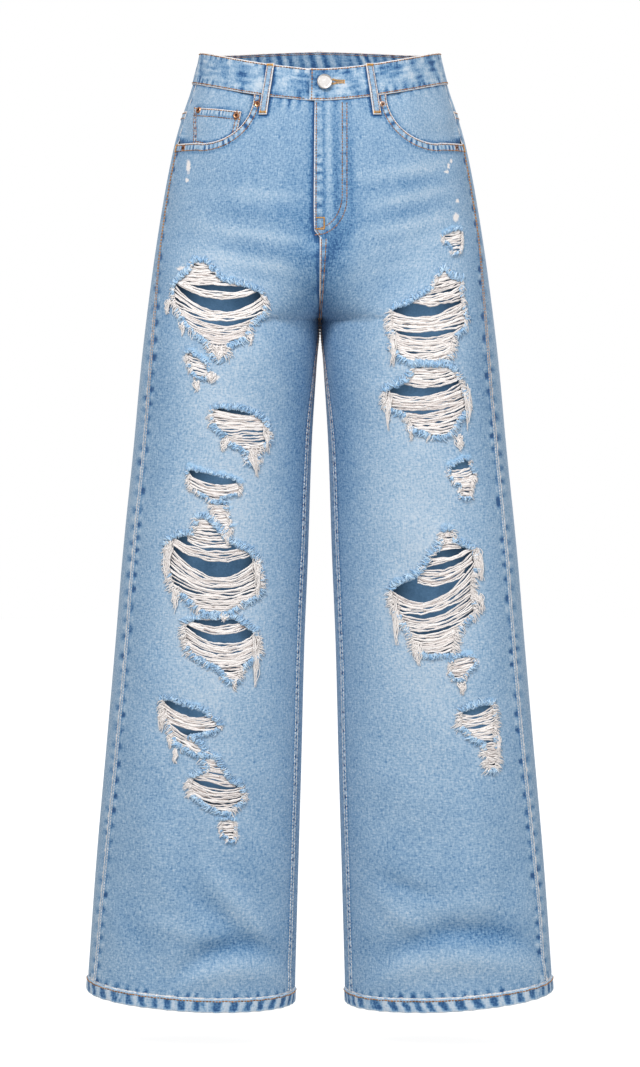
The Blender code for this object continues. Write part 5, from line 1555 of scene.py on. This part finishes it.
# %% Build the belt loops
class Loop:
    def __init__(self, name, side, face, top_u, foot_u):
        self.name, self.side, self.face, self.top_u, self.foot_u = name, side, face, top_u, foot_u
        self.top = float(waist_top(face, abs(top_u))) + LOOP_OVER
        self.length = LOOP_LENGTH

    def place(self, down, across, out):
        """A point on the loop: down its length, across from its middle, out of its underside."""
        t = down / self.length
        u = self.top_u + (self.foot_u - self.top_u) * t + across / ARC
        step = BAND_OUT * (1 - smoothstep((down - BAND_HEIGHT + 1 * MM) / (5 * MM)))
        tacked = np.minimum(down, self.length - down)
        stand = 0.5 * MM + 0.9 * MM * smoothstep((tacked - 3 * MM) / (9 * MM))
        return surface(self.side, self.face, u, self.top - down, step + stand + out)

    def build(self):
        half, thick = LOOP_WIDTH / 2, 1.5 * MM
        across = np.linspace(-half + 0.5 * MM, half - 0.5 * MM, 9)
        bulge = 0.35 * MM * (1 - (across / half) ** 4)
        shape = [(a, thick + b) for a, b in zip(across, bulge)]
        shape += [(half, thick - 0.3 * MM), (half, 0.2 * MM)] + [(a, 0.0) for a in across[::-1]]
        shape += [(-half, 0.2 * MM), (-half, thick - 0.3 * MM)]
        shape = np.array(shape)
        down = np.linspace(0, self.length, 44)[:, None] + 0 * shape[:, 0]
        from_middle = np.abs(shape[:, 0]) + 0 * down
        by_stitches = np.abs(from_middle - 3.2 * MM) < 0.8 * MM
        tone = 0.22 + 0.2 * uneven(down, 7 * MM, len(self.name)) - 0.3 * by_stitches
        ends = np.minimum(down, self.length - down)
        bare = np.maximum((from_middle - half + 1.9 * MM) / (0.8 * MM), (1.5 * MM - ends) / (0.8 * MM))
        numbers = {"tone": tone, "cream": np.clip(bare, 0, 1)}
        rings = self.place(down, shape[:, 0], shape[:, 1])
        flat = np.stack([0.9 + shape[:, 0] + 0 * down, down], axis=-1)
        return swept(self.name + "_cloth", rings, numbers, flat, False)


LOOPS = [Loop("loop_front_" + label, side, 1, LOOP_TOP_U, LOOP_FOOT_U) for side, label in SIDES.items()]
LOOPS += [Loop("loop_side_" + label, side, -1, LOOP_SIDE_U, LOOP_SIDE_U) for side, label in SIDES.items()]
LOOPS.append(Loop("loop_back", 1, -1, 1.0, 1.0))
LOOP_PIECES = [finish_piece(loop.build(), "denim", loop.name) for loop in LOOPS]

# %% [markdown]
# ## Stitching
#
# A row of stitches is the clearest case for Geometry Nodes: one long bead, copied along a path at a fixed
# pitch. The tree takes the rows as plain edges, so a row is only a list of points on the cloth. Thickness,
# length and pitch are inputs, so the same tree sews the seams, the pockets and the loops.


# %% A tree that sews stitches along edges
def ended(tree, geometry, material, result):
    """The end of a tree: instances made real, and a material set."""
    real = node(tree, "GeometryNodeRealizeInstances", {"Geometry": geometry}).outputs[0]
    dyed = node(tree, "GeometryNodeSetMaterial", {"Geometry": real, "Material": material}).outputs[0]
    tree.links.new(dyed, result.inputs[0])
    return tree


def stitch_tree():
    inputs = {
        "Geometry": ("Geometry", None), "Pitch": ("Float", 3 * MM), "Stitch Length": ("Float", 2.4 * MM),
        "Thickness": ("Float", 0.7 * MM), "Seed": ("Int", 3), "Thread": ("Material", None),
    }
    tree, source, result = new_group("sewn_stitches", inputs, {"Geometry": "Geometry"}, "GeometryNodeTree")
    curve = node(tree, "GeometryNodeMeshToCurve", {"Mesh": source.outputs["Geometry"]}).outputs[0]
    spacing = {"Curve": curve, "Length": source.outputs["Pitch"]}
    points = node(tree, "GeometryNodeCurveToPoints", spacing, mode="LENGTH")
    ball = node(tree, "GeometryNodeMeshUVSphere", {"Segments": 5, "Rings": 4, "Radius": 0.5}).outputs["Mesh"]
    size = node(tree, "ShaderNodeCombineXYZ", {
        0: source.outputs["Thickness"], 1: source.outputs["Thickness"], 2: source.outputs["Stitch Length"],
    }).outputs[0]
    spread = {2: 0.88, 3: 1.12, "Seed": source.outputs["Seed"]}
    uneven_size = node(tree, "FunctionNodeRandomValue", spread).outputs[1]
    size = node(tree, "ShaderNodeVectorMath", {0: size, "Scale": uneven_size}, operation="SCALE").outputs[0]
    sewn = node(tree, "GeometryNodeInstanceOnPoints", {
        "Points": points.outputs["Points"], "Instance": ball,
        "Rotation": points.outputs["Rotation"], "Scale": size,
    }).outputs[0]
    shade = node(tree, "FunctionNodeRandomValue", {2: 0.25, 3: 0.85, "Seed": 8}).outputs[1]
    own = {"Geometry": sewn, "Name": "shade", "Value": shade}
    stored = node(tree, "GeometryNodeStoreNamedAttribute", own,
                  data_type="FLOAT", domain="INSTANCE").outputs[0]
    return ended(tree, stored, source.outputs["Thread"], result)


# %% A tree that lays yarn of uneven thickness along edges
def yarn_tree():
    inputs = {
        "Geometry": ("Geometry", None), "Thickness": ("Float", MM),
        "Sides": ("Int", 5), "Yarn": ("Material", None),
    }
    tree, source, result = new_group("laid_yarn", inputs, {"Geometry": "Geometry"}, "GeometryNodeTree")
    curve = node(tree, "GeometryNodeMeshToCurve", {"Mesh": source.outputs["Geometry"]}).outputs[0]
    width = node(tree, "GeometryNodeInputNamedAttribute", {"Name": "width"}, data_type="FLOAT").outputs[0]
    radius = maths(tree, "MULTIPLY", width, source.outputs["Thickness"])
    sized = node(tree, "GeometryNodeSetCurveRadius", {"Curve": curve, "Radius": radius}).outputs[0]
    ring = {"Resolution": source.outputs["Sides"], "Radius": 0.5}
    profile = node(tree, "GeometryNodeCurvePrimitiveCircle", ring).outputs["Curve"]
    sweep = {"Curve": sized, "Profile Curve": profile, "Fill Caps": True}
    tube = node(tree, "GeometryNodeCurveToMesh", sweep)
    if "Scale" in tube.inputs:
        tree.links.new(radius, tube.inputs["Scale"])
    return ended(tree, tube.outputs[0], source.outputs["Yarn"], result)


STITCHES, YARN = stitch_tree(), yarn_tree()


# %% Run a tree over a list of lines, and keep the result as a plain mesh
def grown(name, tree, lines, settings, widths=None, shades=None):
    lines = [np.asarray(line) for line in lines if len(line) > 1]
    points = np.concatenate(lines)
    edges, start = [], 0
    for line in lines:
        edges += [(start + i, start + i + 1) for i in range(len(line) - 1)]
        start += len(line)
    mesh = bpy.data.meshes.new(name + "_paths")
    mesh.from_pydata(points.tolist(), edges, [])
    for label, values in (("width", widths), ("shade", shades)):
        if values is not None:
            data = np.concatenate([np.broadcast_to(v, len(line)) for v, line in zip(values, lines)])
            mesh.attributes.new(label, "FLOAT", "POINT").data.foreach_set("value", data.astype(np.float32))
    paths = linked(name + "_paths", mesh)
    modifier = paths.modifiers.new("tree", "NODES")
    modifier.node_group = tree
    sockets = {item.name: item.identifier for item in tree.interface.items_tree if item.in_out == "INPUT"}
    for label, value in settings.items():
        modifier[sockets[label]] = value
    graph = bpy.context.evaluated_depsgraph_get()
    made_mesh = bpy.data.meshes.new_from_object(paths.evaluated_get(graph), depsgraph=graph)
    bpy.data.objects.remove(paths)
    bpy.data.meshes.remove(mesh)
    made_mesh.name = name
    made_mesh.shade_smooth()
    return finish_piece(linked(name, made_mesh), "yarn")


def sew(name, rows, thread, pitch=3.6 * MM, length=3.3 * MM, thickness=1.2 * MM):
    settings = {"Pitch": pitch, "Stitch Length": length, "Thickness": thickness, "Thread": thread}
    return grown(name, STITCHES, rows, settings)


def lay(name, lines, yarn, thickness, widths, shades, sides=5):
    return grown(name, YARN, lines, {"Thickness": thickness, "Sides": sides, "Yarn": yarn}, widths, shades)


# %% Rows of stitches beside a panel's edges
THREAD_LIFT = 0.12 * MM


def row_along(panel, label, distance, span=None):
    """A row on a panel beside one of its edges. span cuts it to heights between two values."""
    line = panel.edges[label]
    moved = respaced(beside(line, distance * np.sign(signed_area(panel.loop))), 2.5 * MM)
    moved = moved[inside(moved, panel.loop)]
    if span is not None:
        moved = moved[(moved[:, 1] < max(span)) & (moved[:, 1] > min(span))]
    return panel.place(moved, THREAD_LIFT)


def line_on(panel, flat):
    return panel.place(respaced(np.asarray(flat, float), 2.5 * MM), THREAD_LIFT)


outseam_rows, inseam_rows = [], []
for side, panel in FRONTS.items():
    outseam_rows += [row_along(panel, "outseam", d) for d in (1.6 * MM, 5.2 * MM)]
    inseam_rows += [row_along(panel, "inseam", d) for d in (1.5 * MM, 7.0 * MM)]
sew("outseam_stitches", outseam_rows, TAN_THREAD)
sew("inseam_stitches", inseam_rows, TAN_THREAD)

# %% Pocket mouths, coin pocket
mouth_rows = []
for side, panel in FRONTS.items():
    mouth_rows += [row_along(panel, "mouth", d) for d in (1.9 * MM, 8.3 * MM)]
coin_rows = [row_along(COIN, "top", d) for d in (1.4 * MM, 9.0 * MM)]
coin_rows += [row_along(COIN, label, d) for label in ("inner", "outer") for d in (1.3 * MM, 6.2 * MM)]
sew("pocket_stitches", mouth_rows + coin_rows, BROWN_THREAD, 3.2 * MM, 3.0 * MM, 1.2 * MM)

# %% The fly: a topstitched J, the edge stitch and the two rows below it
LEFT_FRONT = FRONTS[1]


def front_flat(points):
    """Flattened places from (x, z) in millimetres on the left front; x below 0 is past the centre."""
    made = []
    for x, z in points:
        u = float(u_at(abs(x) * MM, z * MM))
        made.append(((u if x >= 0 else 2 - u) * ARC, z * MM))
    return np.array(made)


def fly_curve(x, low, end_z, steps=14):
    """Down at x, then round a quarter of an ellipse to the fly's edge."""
    straight = [(x, z) for z in np.arange(-46, low, -6)]
    turns = np.linspace(0, math.pi / 2, steps)
    reach = x + 4.5
    return straight + [(x - reach * (1 - math.cos(t)), low + (end_z - low) * math.sin(t)) for t in turns]


fly_turns = ((24.7, -146, -184), (29.8, -150, -191))
fly_rows = [line_on(LEFT_FRONT, front_flat(fly_curve(*turn))) for turn in fly_turns]
fly_rows.append(row_along(LEFT_FRONT, "centre", 2.4 * MM, (-46 * MM, FLY_END)))
centre_rows = [row_along(LEFT_FRONT, "centre", d, (FLY_END - 6 * MM, CROTCH)) for d in (1.6 * MM, 7.2 * MM)]
sew("fly_stitches", fly_rows + centre_rows, BROWN_THREAD, 3.2 * MM, 3.0 * MM, 1.2 * MM)


# %% Waistband, loops and hems
def band_row(down, first, last):
    places = np.arange(first, last, 0.012)
    lift = BAND_OUT + THREAD_LIFT
    rise = band_effect(places * ARC * 0.72, np.full(len(places), down))[0]
    return band_point(places, down, lift + rise)


band_rows = [band_row(down, 0.0 - BAND_LAP_U + 0.012, 3.93) for down in (1.7 * MM, BAND_HEIGHT - 2.2 * MM)]
end_down = np.linspace(2 * MM, BAND_HEIGHT - 2.4 * MM, 14)
band_rows.append(band_point(-BAND_LAP_U + 0.012, end_down, BAND_OUT + 2 * THREAD_LIFT))
sew("waistband_stitches", band_rows, BROWN_THREAD, 3.3 * MM, 3.1 * MM, 1.35 * MM)
inner_ring = np.arange(0.4, 3.6, 0.012)
inner_rows = [band_point(inner_ring, down, BAND_IN - 0.15 * MM) for down in (1.4 * MM, 3.2 * MM)]
sew("waistband_inner_stitches", inner_rows, BROWN_THREAD, 2.9 * MM, 2.5 * MM, 1.0 * MM)
loop_rows = []
for loop in LOOPS:
    down = np.linspace(2.2 * MM, loop.length - 2.2 * MM, 30)
    for across in (-3.3 * MM, 3.3 * MM):
        loop_rows.append(loop.place(down, np.full(30, across), np.full(30, 1.75 * MM)))
sew("loop_stitches", loop_rows, BROWN_THREAD, 2.8 * MM, 2.6 * MM, 1.0 * MM)
hem_rows = [hem_point(side, np.linspace(0, 2, 260), 13.4 * MM, 1.15 * MM) for side in (-1, 1)]
sew("hem_stitches", hem_rows, BROWN_THREAD, 3.7 * MM, 3.5 * MM, 1.6 * MM)

# %% The back: yoke, centre seam and pockets
back_rows = []
for side in (-1, 1):
    back_rows += [row_along(BACKS[side], "yoke", d) for d in (1.7 * MM, 7.6 * MM)]
    pocket = BACK_POCKETS[side]
    for i in range(5):
        rows = (2.0 * MM, 12.0 * MM) if i == 0 else (1.6 * MM, 7.4 * MM)
        back_rows += [row_along(pocket, f"edge_{i}", d) for d in rows]
back_rows += [row_along(BACKS[1], "centre", d) for d in (1.7 * MM, 7.4 * MM)]
back_rows += [row_along(YOKES[1], "centre", d) for d in (1.7 * MM, 7.4 * MM)]
sew("back_stitches", back_rows, TAN_THREAD)


# %% [markdown]
# ## Bartacks and the buttonhole
#
# Where a seam could tear, a machine packs a dense zigzag across it. A zigzag is one yarn, so the yarn tree
# lays it.

# %% Zigzags on the cloth
def zigzag(path, half, pitch):
    """A dense zigzag along a line of 3D points. half is its half width, as a vector for each point."""
    path, half = np.asarray(path), np.asarray(half)
    gaps = np.linalg.norm(np.diff(path, axis=0), axis=1)
    length = np.concatenate([[0], np.cumsum(gaps)])
    places = np.arange(0, length[-1], pitch / 2)
    middle = np.stack([np.interp(places, length, path[:, k]) for k in range(3)], axis=1)
    width = np.stack([np.interp(places, length, half[:, k]) for k in range(3)], axis=1)
    return middle + width * np.where(np.arange(len(places)) % 2, 1, -1)[:, None]


def bar(place, first, last, half):
    """A bartack between two flat places: place gives 3D points."""
    first, last = np.asarray(first, float), np.asarray(last, float)
    flat = np.array([first + (last - first) * t for t in np.linspace(0, 1, 8)])
    along = (last - first) / np.linalg.norm(last - first)
    aside = np.array([-along[1], along[0]]) * half
    middle = place(flat)
    return zigzag(middle, place(flat + aside) - middle, 0.8 * MM)


bars = []
for loop in LOOPS:
    on_loop = lambda flat, loop=loop: loop.place(flat[:, 1], flat[:, 0], np.full(len(flat), 2.2 * MM))
    for down in (2.0 * MM, loop.length - 2.4 * MM):
        bars.append(bar(on_loop, (-4.4 * MM, down), (4.4 * MM, down), 1.2 * MM))
on_left = lambda flat: LEFT_FRONT.place(flat, 0.35 * MM)
box = [(-4.2, -172), (4.6, -172), (4.6, -184.5), (-4.2, -184.5)]
for first, last in ((0, 1), (1, 2), (3, 2)):
    bars.append(bar(on_left, *front_flat([box[first], box[last]]), 0.6 * MM))
for side, panel in FRONTS.items():
    corner = float(out_u(MOUTH_END_Z)) * ARC
    on_panel = lambda flat, panel=panel: panel.place(flat, 0.35 * MM)
    ends = [(corner + 2.5 * MM, MOUTH_END_Z - down) for down in (1 * MM, 9 * MM)]
    bars.append(bar(on_panel, *ends, 1.2 * MM))
lay("bartacks", bars, ORANGE_THREAD, 1.0 * MM, [1.0] * len(bars), [0.8] * len(bars), 4)


# %% The buttonhole: a round eye by the button and a straight slot
def buttonhole():
    eye_x, eye_z, radius, end_x = 14.5, -22.0, 2.6, 27.0
    turns = np.radians(np.linspace(-150, 150, 22))
    eye = [(eye_x - radius * math.cos(t), eye_z + radius * math.sin(t)) for t in turns]
    flat = respaced(front_flat([(end_x, eye_z - 0.9), *eye, (end_x, eye_z + 0.9)]), 1 * MM)
    outward = side_normals(flat, False)
    outward /= np.linalg.norm(outward, axis=1, keepdims=True)

    def place(points):
        return surface(1, 1, points[:, 0] / ARC, points[:, 1], np.full(len(points), BAND_OUT + 0.35 * MM))

    middle = place(flat)
    return zigzag(middle, place(flat + outward * 1.1 * MM) - middle, 0.8 * MM)


lay("buttonhole", [buttonhole()], ORANGE_THREAD, 1.0 * MM, [1.0], [0.85], 4)

# %% [markdown]
# ## Loose weft in the rips
#
# Each yarn is a parabola across the hole, tucked behind the cloth at both ends. Neighbours wander a little
# up and down and in and out, so that some touch and some leave a dark gap, and their thickness swells and
# thins.


# %% Weft yarns of one rip
def weft_lines(name, rip, rng):
    hole = TORN[name]
    lines, widths, shades = [], [], []
    for band in rip.bands:
        last = max(band.count - 1, 1)
        laid = [(i / last, 0.0) for i in range(band.count)]
        laid += [((i + 0.5) / last, 1.0) for i in range(band.count - 1) if rng.uniform() < 0.6]
        for t, behind in laid:
            t = t + rng.uniform(-0.28, 0.28) / last
            left = band.left_top + (band.left_low - band.left_top) * t
            right = band.right_top + (band.right_low - band.right_top) * t
            middle = band.mid_top + (band.mid_low - band.mid_top) * t
            k = np.linspace(0, 1, 30)
            x = band.left - 3 + (band.right - band.left + 6) * k
            z = left * (1 - k) * (1 - 2 * k) + middle * 4 * k * (1 - k) + right * k * (2 * k - 1)
            seed = int(rng.integers(1, 9999))
            z = z + 0.70 * waves(x, 0 * x, 26, seed, 5) + 0.28 * waves(x, 0 * x, 8, seed + 1, 5)
            flat = flat_at(x, z)
            within = inside(flat, hole)
            if behind and rng.uniform() < 0.45:
                gap = rng.uniform(0.15, 0.75)
                within &= np.abs(k - gap) > rng.uniform(0.03, 0.12)
                within &= (k < gap) if gap > 0.45 else (k > gap)
            if within.sum() < 2:
                continue
            first, final = int(np.argmax(within)), len(within) - 1 - int(np.argmax(within[::-1]))
            flat = flat[max(first - 2, 0):final + 3]
            steps = np.minimum(np.arange(len(flat)), np.arange(len(flat))[::-1])
            s = flat[:, 0] / MM
            depth = -2.1 + 1.75 * smoothstep(steps / 4) + 0.5 * waves(s, 0 * s, 30, seed + 2, 4)
            depth += rng.uniform(-0.3, 0.3) - 0.9 * behind
            lines.append(surface(rip.side, 1, flat[:, 0] / ARC, flat[:, 1], depth * MM))
            widths.append((1.0 + 0.22 * waves(s, 0 * s, 9, seed + 3, 4)) * rng.uniform(0.85, 1.15))
            # yarns behind are darker: painted shade under the yarns in front
            shades.append(float(rng.uniform(0.60, 1.1) - 0.50 * behind))
    return lines, widths, shades


WEFT_THICKNESS = 2.0 * MM
rng = np.random.default_rng(2)
for name, rip in RIPS.items():
    lines, widths, shades = weft_lines(name, rip, rng)
    piece = lay("weft_" + name, lines, WEFT, WEFT_THICKNESS, widths, shades)
    node_name = "yarns_" + name
    if node_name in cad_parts:
        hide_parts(node_name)

# %% [markdown]
# ## Frayed edges
#
# Along the top and bottom of a rip the cut warp curls back into a soft blue fringe. At its sides the white
# weft comes out of the cloth in tufts, which hang down from the corners as tassels. All of it is short yarn
# with a curl.


# %% Fringe along the torn edges
def fringe(name, rip, rng):
    """Curled warp along upper and lower edges, and short white ends at the sides."""
    hole = TORN[name]
    normal = outward(hole)
    tufts, blue, white = [], [], []
    size = min(max(float(np.ptp(hole[:, 1])) / (75 * MM), 0.5), 1.0)
    patches = waves(hole[:, 0], hole[:, 1], 26 * MM, 21)
    for k in range(len(hole)):
        start, end = hole[k], hole[(k + 1) % len(hole)]
        edge_up = normal[k, 1]
        blueness = edge_up > 0.38 + 0.15 * patches[k] or edge_up < -0.55 - 0.25 * patches[k]
        kinds = [tufts, blue, blue] if blueness else [white, white]
        if blueness and rng.uniform() < 0.35 * size:
            kinds = [tufts] + kinds
        for kind in kinds:
            t = rng.uniform()
            root = start + (end - start) * t - normal[k] * rng.uniform(0.2, 1.8) * MM
            lean = rng.uniform(-0.6, 0.6)
            out = np.array([normal[k, 0] + lean * normal[k, 1], normal[k, 1] - lean * normal[k, 0]])
            length = size * (rng.uniform(4.0, 9.0) if kind is tufts else rng.uniform(3.5, 8.5))
            s = np.linspace(0, 1, 6)
            curl = rng.uniform(-1.8, 1.8)
            turned = np.array([-out[1], out[0]])
            flat = root + np.outer(s * length * MM, out) + np.outer(np.sin(s * math.pi) * curl * MM, turned)
            if kind is white:
                flat[:, 1] -= 3.0 * MM * s**2
            lift = (0.2 + rng.uniform(0.9, 2.0) * np.sin(s * math.pi * rng.uniform(0.7, 0.95))) * MM
            kind.append((flat, lift))
    return tufts, blue, white


def placed(panel, fibres):
    """Fibres as 3D lines, with all of their places asked for in one go."""
    flat = np.concatenate([f for f, _ in fibres])
    lift = np.concatenate([l for _, l in fibres])
    points = panel.place(flat, lift)
    cuts = np.cumsum([len(f) for f, _ in fibres])[:-1]
    return np.split(points, cuts)


rng = np.random.default_rng(4)
for side, label in SIDES.items():
    tufts, blue, white = [], [], []
    for name, rip in RIPS.items():
        if rip.side == side:
            for kept, more in zip((tufts, blue, white), fringe(name, rip, rng)):
                kept.extend(more)
    taper = np.array([0.6, 1.0, 1.1, 1.0, 0.85, 0.45])
    for kind, fibres, yarn, thickness in (
        ("tufts", tufts, WARP, 1.9 * MM), ("warp", blue, WARP, 0.8 * MM), ("weft", white, WEFT, 1.1 * MM),
    ):
        lines = placed(FRONTS[side], fibres)
        low = 0.78 if kind == "weft" else 0.15
        shades = [float(rng.uniform(low, 1.05)) for _ in lines]
        lay(f"frayed_{kind}_{label}", lines, yarn, thickness, [taper] * len(lines), shades, 3)

# %% Tassels at the corners: x, where they start, how wide and long they hang, and their lean
Tassel = namedtuple("Tassel", "x top width length lean")
TASSELS = [Tassel(*row) for row in [
    (-168.5, -262, 8, 14, -2), (-153, -286, 6, 15, 0), (-77.5, -300, 5, 12, 0), (-105.5, -417, 7, 13, -3),
    (-61, -404, 7, 28, 2), (-168, -534, 12, 40, -2), (-160, -585, 9, 26, -2), (-72, -552, 11, 44, 2),
    (-73, -640, 9, 54, 0), (-97.5, -686, 8, 14, 2), (-176, -724, 13, 22, -2), (-168, -753, 7, 12, 0),
    (-162.5, -766, 5, 17, 0), (83, -300, 9, 34, -2), (77.5, -366, 9, 40, -1), (101, -401, 5, 18, 0),
    (162.5, -356, 11, 50, 2), (155, -413, 13, 16, 1), (174, -540, 12, 34, 6), (174, -590, 14, 21, 6),
    (85, -596, 9, 50, 1), (109, -647, 14, 22, 3), (157, -690, 10, 13, 3), (199, -752, 6, 23, 1),
    (-114, -314, 15, 18, 3), (-121, -344, 13, 10, 0), (-137, -353, 7, 12, 0), (-75, -430, 18, 28, 5),
    (-105, -520, 9, 16, 2), (-108, -612, 12, 10, 0),
]]


def tassel_fibres(tassel, rng):
    made = []
    for _ in range(int(8 + tassel.width * 1.4)):
        x = tassel.x + rng.uniform(-0.5, 0.5) * tassel.width * 0.8
        top = tassel.top - rng.uniform(-0.12, 0.35) * tassel.length
        length = min(tassel.length * rng.uniform(0.35, 1.0), tassel.length - (tassel.top - top) + 3)
        s = np.linspace(0, 1, 9)
        pull = (tassel.x - x) * 0.75
        sway = rng.uniform(-2.6, 2.6)
        along = x + pull * s + tassel.lean * s + sway * np.sin(s * math.pi * rng.uniform(1.0, 2.8))
        down = top - length * s
        depth = 0.7 + 2.4 * np.sin(s * math.pi * 0.9) * rng.uniform(0.2, 1.0)
        made.append((flat_at(along, down), depth * MM))
    return made


rng = np.random.default_rng(6)
for side, label in SIDES.items():
    fibres = [fibre for tassel in TASSELS if tassel.x * side > 0 for fibre in tassel_fibres(tassel, rng)]
    lines = placed(FRONTS[side], fibres)
    taper = np.array([0.8, 1.0, 1.05, 1.0, 1.0, 0.95, 0.9, 0.75, 0.45])
    shades = [float(rng.uniform(0.7, 1.2)) for _ in lines]
    lay("tassels_" + label, lines, WEFT, 1.25 * MM, [taper] * len(lines), shades, 3)

# %% [markdown]
# ## Button and rivets
#
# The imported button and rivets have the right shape, so they stay and only get their metal.

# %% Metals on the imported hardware
COPPER = [(0.48, 0.23, 0.13, 1), (0.93, 0.60, 0.41, 1)]
WORN_COPPER = [(0.55, 0.40, 0.34, 1), (0.95, 0.88, 0.84, 1)]
for name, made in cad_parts.items():
    if name == "button" or name.startswith("rivet"):
        made.data.materials.clear()
        low, high = (np.array(corner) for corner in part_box(name))
        tones = WORN_COPPER if name == "rivet_top_left" else COPPER
        copper = None
        if name != "button":
            copper = metal_material(name + "_copper", *tones, 0.38, (low + high) / 2)
        made.data.materials.append(copper or NICKEL)
        made.data.shade_smooth()
        made.data.set_sharp_from_angle(angle=math.radians(35))

# %% [markdown]
# ## Cut sizes
#
# A cutter wants to know how much flat cloth each piece takes. The widths and lengths are measured along the
# form.


# %% Measure each sheet
def run(side, face, places):
    """Length along the form through (u, z) places."""
    u, z = np.array([p[0] for p in places]), np.array([p[1] for p in places])
    points = surface(side, face, u, z)
    return float(np.linalg.norm(np.diff(points, axis=0), axis=1).sum())


def cut_size(panel):
    """Width and length of a panel's flat cut: the widest level run, and its height down the middle."""
    low, high = panel.loop.min(axis=0), panel.loop.max(axis=0)
    widest = 0.0
    for z in np.linspace(low[1] + 2 * MM, high[1] - 2 * MM, 24):
        across = np.linspace(low[0], high[0], 160)
        row = np.stack([across, np.full(160, z)], axis=1)
        within = row[inside(row, panel.loop)]
        if len(within) > 1:
            widest = max(widest, run(panel.side, panel.face, [(s / ARC, z) for s, _ in within]))
    middle = (low[0] + high[0]) / 2 / ARC
    down = [(middle, z) for z in np.linspace(low[1], high[1], 80)]
    return widest + 1 * MM, run(panel.side, panel.face, down)


def declare(panel):
    width, length = cut_size(panel)


for side, label in SIDES.items():
    declare(FRONTS[side])
    declare(BACKS[side])
    declare(YOKES[side])
    declare(BACK_POCKETS[side])
    declare(FACINGS[side])
declare(COIN)


strips = [(band_piece, BAND_HEIGHT, "stretched", "loop_back")]
strips += [(made, HEM_HEIGHT, "folded", "front_right") for made in HEM_PIECES.values()]
strips += [(made, LOOP_WIDTH, "folded", "waistband") for made in LOOP_PIECES]
for piece, width, held, rests in strips:
    piece.data.calc_loop_triangles()

# %% [markdown]
# ## Floor, light and camera
#
# A plain pale floor and broad soft lights, as for a catalogue picture.

# %% Floor
FLOOR_Z = -1.112


def add_floor():
    turns = np.linspace(0, 2 * math.pi, 97)[:-1]
    rim = [(6 * math.cos(t), 6 * math.sin(t), FLOOR_Z) for t in turns]
    mesh = bpy.data.meshes.new("floor")
    mesh.from_pydata(rim, [], [tuple(range(len(rim)))])
    made, tree, shader = new_material("pale_floor", 0.9)
    shader.inputs["Base Color"].default_value = (0.12, 0.12, 0.12, 1)
    shader.inputs["Emission Color"].default_value = (1, 1, 1, 1)
    seen = node(tree, "ShaderNodeLightPath").outputs["Is Camera Ray"]
    tree.links.new(maths(tree, "MULTIPLY_ADD", seen, 0.60, 0.35), shader.inputs["Emission Strength"])
    mesh.materials.append(made)
    floor = linked("floor", mesh)
    floor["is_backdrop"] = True


add_floor()


# %% Lights
def aimed(made, location, target):
    """A light or camera put at one place and pointed at another."""
    made.location = location
    made.rotation_euler = (Vector(target) - Vector(location)).to_track_quat("-Z", "Y").to_euler()
    return made


def add_light(name, location, target, size, power):
    data = bpy.data.lights.new(name, "AREA")
    data.shape, data.size, data.energy = "DISK", size, power
    aimed(linked(name, data), location, target)


add_light("key", (-1.2, -3.0, 2.4), (0, 0, -0.5), 1.4, 126)
add_light("fill", (2.4, -2.8, 0.2), (0, 0, -0.6), 2.6, 44)
add_light("back", (0.9, 3.2, 2.0), (0, 0, -0.5), 1.8, 130)

world = bpy.data.worlds.new("studio")
bpy.context.scene.world = world
world.use_nodes = True
tree = world.node_tree
sky = tree.nodes["Background"]
sky.inputs["Color"].default_value = (1, 1, 1, 1)
is_camera = node(tree, "ShaderNodeLightPath").outputs["Is Camera Ray"]
tree.links.new(maths(tree, "MULTIPLY_ADD", is_camera, 0.54, 0.46), sky.inputs["Strength"])
bpy.context.scene.view_settings.view_transform = "Standard"

# %% Camera
camera_data = bpy.data.cameras.new("camera")
camera_data.lens, camera_data.sensor_width = 118.42, 36
camera = aimed(linked("camera", camera_data), (0, -4.0, -0.30), (0, 0, -0.528))
bpy.context.scene.camera = camera

# %% The bounds of everything drawn
low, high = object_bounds()
